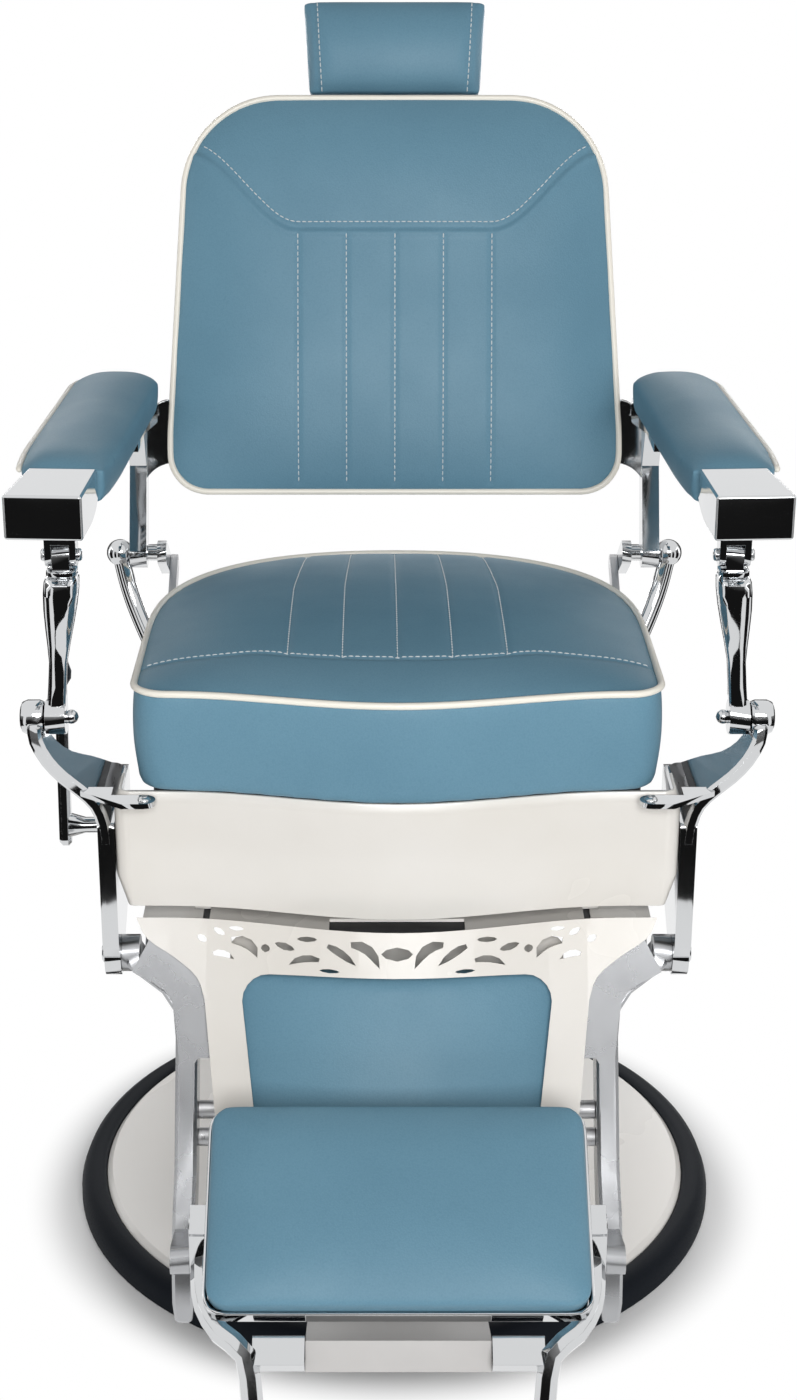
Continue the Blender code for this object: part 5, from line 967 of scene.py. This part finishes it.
def makeCalf():
    grid = []
    for f in [0.5 + 0.5 * s for s in sinSpread(31)]:
        line = []
        for share in sinSpread(41):
            x = calf["half"] * share
            edge = (1.0 - abs(share) ** calf["sidePower"]) * (1.0 - abs(2 * f - 1) ** calf["endPower"])
            crown = calf["panelOut"] + bowOut(x, calf["bowHalf"], calf["bow"]) - calf["panelT"] - calf["behind"]
            line.append((x, calf["low"] + (calf["top"] - calf["low"]) * f,
                         calf["base"] + (crown - calf["base"]) * max(edge, 0.0) ** calf["crownPower"]))
        grid.append(line)
    mesh, _ = upholster(grid, calf["floor"], 0.0, calf["tuck"], [], calf["cap"])
    place = standing(pivotOf["leg_swing"], calf["tiltDeg"])
    pad = meshObject("calf_cover", mesh, place, "leg_rest", finishOf["vinyl"])
    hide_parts("calf_pad")


makeCalf()
print("calf pad: cover")


# Footrest pad, in its tilted frame from the knuckles

foot = {"tiltDeg": 56.0, "half": 0.171, "low": -0.073, "length": 0.191, "edge": 0.078, "crown": 0.017,
        "corner": 0.019, "floor": 0.0493, "tuck": 0.001, "cap": 0.003, "sidePower": 5, "endPower": 2.8,
        "crownPower": 0.6}


def makeFootPad():
    low = foot["low"]
    top = low + foot["length"]
    rows = [low + foot["corner"] * (1 - math.cos(a)) for a in spread(0.0, math.pi / 2, 8)]
    rows += spread(low + foot["corner"], top - foot["corner"], 20)[1:-1]
    rows += [top - foot["corner"] * (1 - math.cos(a)) for a in spread(math.pi / 2, 0.0, 8)]
    grid = []
    for p in rows:
        nearest = min(p - low, top - p)
        half = foot["half"]
        if nearest < foot["corner"]:
            half -= foot["corner"] - math.sqrt(max(foot["corner"] ** 2 - (foot["corner"] - nearest) ** 2, 0.0))
        t = (p - low) / foot["length"]
        line = []
        for share in sinSpread(41):
            lift = (1.0 - abs(share) ** foot["sidePower"]) * (1.0 - abs(2 * t - 1) ** foot["endPower"])
            line.append((half * share, p, foot["edge"] + foot["crown"] * max(lift, 0.0) ** foot["crownPower"]))
        grid.append(line)
    mesh, _ = upholster(grid, foot["floor"], 0.0, foot["tuck"], [], foot["cap"])
    place = standing(pivotOf["footrest_flip"], foot["tiltDeg"])
    pad = meshObject("footrest_cover", mesh, place, "footrest", finishOf["vinyl"])
    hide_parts("footrest_pad")


makeFootPad()
print("footrest: cover")


# Rear horns with a fuller curve than their solids, back brackets, and webs from these to the back

horn = {"radius": 0.0092, "ballR": 0.0145, "ballOut": 0.0117, "start": 0.2063, "route": ((0.228, 0.152, 0.525),
        (0.249, 0.159, 0.540), (0.273, 0.183, 0.582), (0.291, 0.203, 0.622)), "step": 0.004,
        "around": 20, "ballSteps": (32, 20)}
web = {"edge": ((0.281, 0.745), (0.274, 0.737), (0.264, 0.750), (0.252, 0.757), (0.236, 0.760), (0.236, 0.832),
                (0.262, 0.824), (0.280, 0.790)), "y": 0.236, "thick": 0.006, "round": 0.0014}
bracket = {"top": 0.160, "round": 0.0032}  # lower than its solid, so the arm hides its end


def smoothed(points, rounds=3):  # corners cut again and again
    line = [Vector(p) for p in points]
    for _ in range(rounds):
        cut = [line[0]]
        for a, b in zip(line, line[1:]):
            cut += [a.lerp(b, 0.25), a.lerp(b, 0.75)]
        line = cut + [line[-1]]
    return line


def makeHorn(side, hand):
    low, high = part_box("rear_tube")
    ballAt = Vector((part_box("back_bracket_left")[1].x + horn["ballOut"], *pivotOf["recline"].yz))
    root = Vector((horn["start"], (low.y + high.y) / 2, (low.z + high.z) / 2))
    line = evenly(smoothed([root, *horn["route"], ballAt]), horn["step"])
    bm = bmesh.new()
    bm.from_mesh(tubeMesh([line], horn["radius"], around=horn["around"]))
    longSteps, crossSteps = horn["ballSteps"]
    bmesh.ops.create_uvsphere(bm, u_segments=longSteps, v_segments=crossSteps, radius=horn["ballR"],
                              matrix=Matrix.Translation(ballAt))
    mesh = asMesh("horn", bm)
    if hand < 0:
        mesh.flip_normals()
    place = Matrix.Scale(hand, 4, (1, 0, 0))
    piece = meshObject("rear_horn_%s_bent" % side, mesh, place, "seat", finishOf["chrome"])
    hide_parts("rear_horn_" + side)


def makeWeb(side, hand):
    bm = bmesh.new()
    outline = smoothed([(x, web["y"], z) for x, z in web["edge"]], 2)
    front = [bm.verts.new((hand * p.x, p.y, p.z)) for p in outline]
    rear = [bm.verts.new((hand * p.x, p.y + web["thick"], p.z)) for p in outline]
    skin(bm, [front, rear])
    bmesh.ops.recalc_face_normals(bm, faces=bm.faces)
    mesh = asMesh("web", bm)
    piece = meshObject("bracket_web_" + side, mesh, Matrix.Identity(4), "backrest", finishOf["chrome"])
    easeEdges(piece, web["round"])


def makeBracket(side):
    nodeName = "back_bracket_" + side
    tilt = math.radians(back["tiltDeg"])
    upward = Vector((0, math.sin(tilt), math.cos(tilt)))
    bm = bmesh.new()
    bm.from_mesh(nodes[nodeName].data)
    bmesh.ops.remove_doubles(bm, verts=bm.verts, dist=edges["weld"])
    cut = bmesh.ops.bisect_plane(bm, geom=bm.verts[:] + bm.edges[:] + bm.faces[:], plane_no=upward,
                                 plane_co=pivotOf["recline"] + upward * bracket["top"], clear_outer=True)
    bmesh.ops.contextual_create(bm, geom=[g for g in cut["geom_cut"] if isinstance(g, bmesh.types.BMEdge)])
    mesh = asMesh("bracket", bm)
    piece = meshObject(nodeName + "_cast", mesh, Matrix.Identity(4), "backrest", finishOf["chrome"])
    easeEdges(piece, bracket["round"])
    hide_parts(nodeName)


for side, sign in sides:
    makeHorn(side, sign)
    makeWeb(side, sign)
    makeBracket(side)
print("rear: horns, bracket webs, back brackets")


# Black sheet behind the leg panel's slot and notches, painted shade for the dark space behind them, in the leg's
# tilted frame

paintedShadeSheet = {"slotHalf": 0.072, "notch": (0.172, 0.206), "rim": 0.035, "dip": 0.014, "under": 0.0060, "thick": 0.001,
          "behind": 0.0008, "deep": 0.040}


def makePaintedShadeSheet():
    slope = math.tan(math.radians(calf["tiltDeg"]))
    near, far = paintedShadeSheet["notch"]
    bm = bmesh.new()
    for low, high in ((-paintedShadeSheet["slotHalf"], paintedShadeSheet["slotHalf"]), (near, far), (-far, -near)):
        rings = []
        for x in spread(low, high, 9):
            out = calf["panelOut"] + bowOut(x, calf["bowHalf"], calf["bow"])
            up = paintedShadeSheet["rim"] - bowOut(x, calf["bowHalf"], paintedShadeSheet["dip"]) - paintedShadeSheet["under"]
            depths = (calf["panelT"] + paintedShadeSheet["behind"], paintedShadeSheet["deep"])
            (frontUp, front), (rearUp, rear) = ((up + depth * slope, out - depth) for depth in depths)
            ring = [(x, frontUp, front), (x, rearUp, rear), (x, rearUp - paintedShadeSheet["thick"], rear),
                    (x, frontUp - paintedShadeSheet["thick"], front)]
            rings.append([bm.verts.new(p) for p in ring])
        skin(bm, rings)
    bmesh.ops.recalc_face_normals(bm, faces=bm.faces)
    mesh = asMesh("paintedShadeSheet", bm)
    place = standing(pivotOf["leg_swing"], calf["tiltDeg"])
    # painted shade: a black sheet where the space behind the panel lies in shade
    sheet = meshObject("panel_painted_shade", mesh, place, "leg_rest", finishOf["black"])
    sheet.data.shade_flat()


makePaintedShadeSheet()
print("leg panel: lining")


# Screw heads on the side frames' lugs and pivot bolts on their outer faces

screws = {"lugAt": (0.2348, -0.2628), "lugDrop": 0.0015, "lugR": 0.0062, "boltX": 0.282, "boltR": 0.0105,
          "round": 0.0003, "steps": 36,
          "form": ((0.38, 0.16), (0.40, 0.42), (0.72, 0.38), (0.93, 0.22), (1.0, 0.08), (1.0, 0.0))}  # in radii


def screwHead(radius):
    return spunMesh([(radius * r, radius * z) for r, z in screws["form"]], steps=screws["steps"])


def makeScrews():
    x, y = screws["lugAt"]
    legAt = pivotOf["leg_swing"]
    bm = bmesh.new()
    for _, hand in sides:
        onLug = Matrix.Translation((hand * x, y, seatFloor - screws["lugDrop"]))
        onFrame = (Matrix.Translation((hand * screws["boltX"], legAt.y, legAt.z))
                   @ Matrix.Rotation(math.radians(90 * hand), 4, "Y"))
        for radius, place in ((screws["lugR"], onLug), (screws["boltR"], onFrame)):
            head = screwHead(radius)
            head.transform(place)
            bm.from_mesh(head)
    mesh = asMesh("screws", bm)
    heads = meshObject("frame_screws", mesh, Matrix.Identity(4), "seat", finishOf["chrome"])
    easeEdges(heads, screws["round"])


makeScrews()
print("side frames: screws")
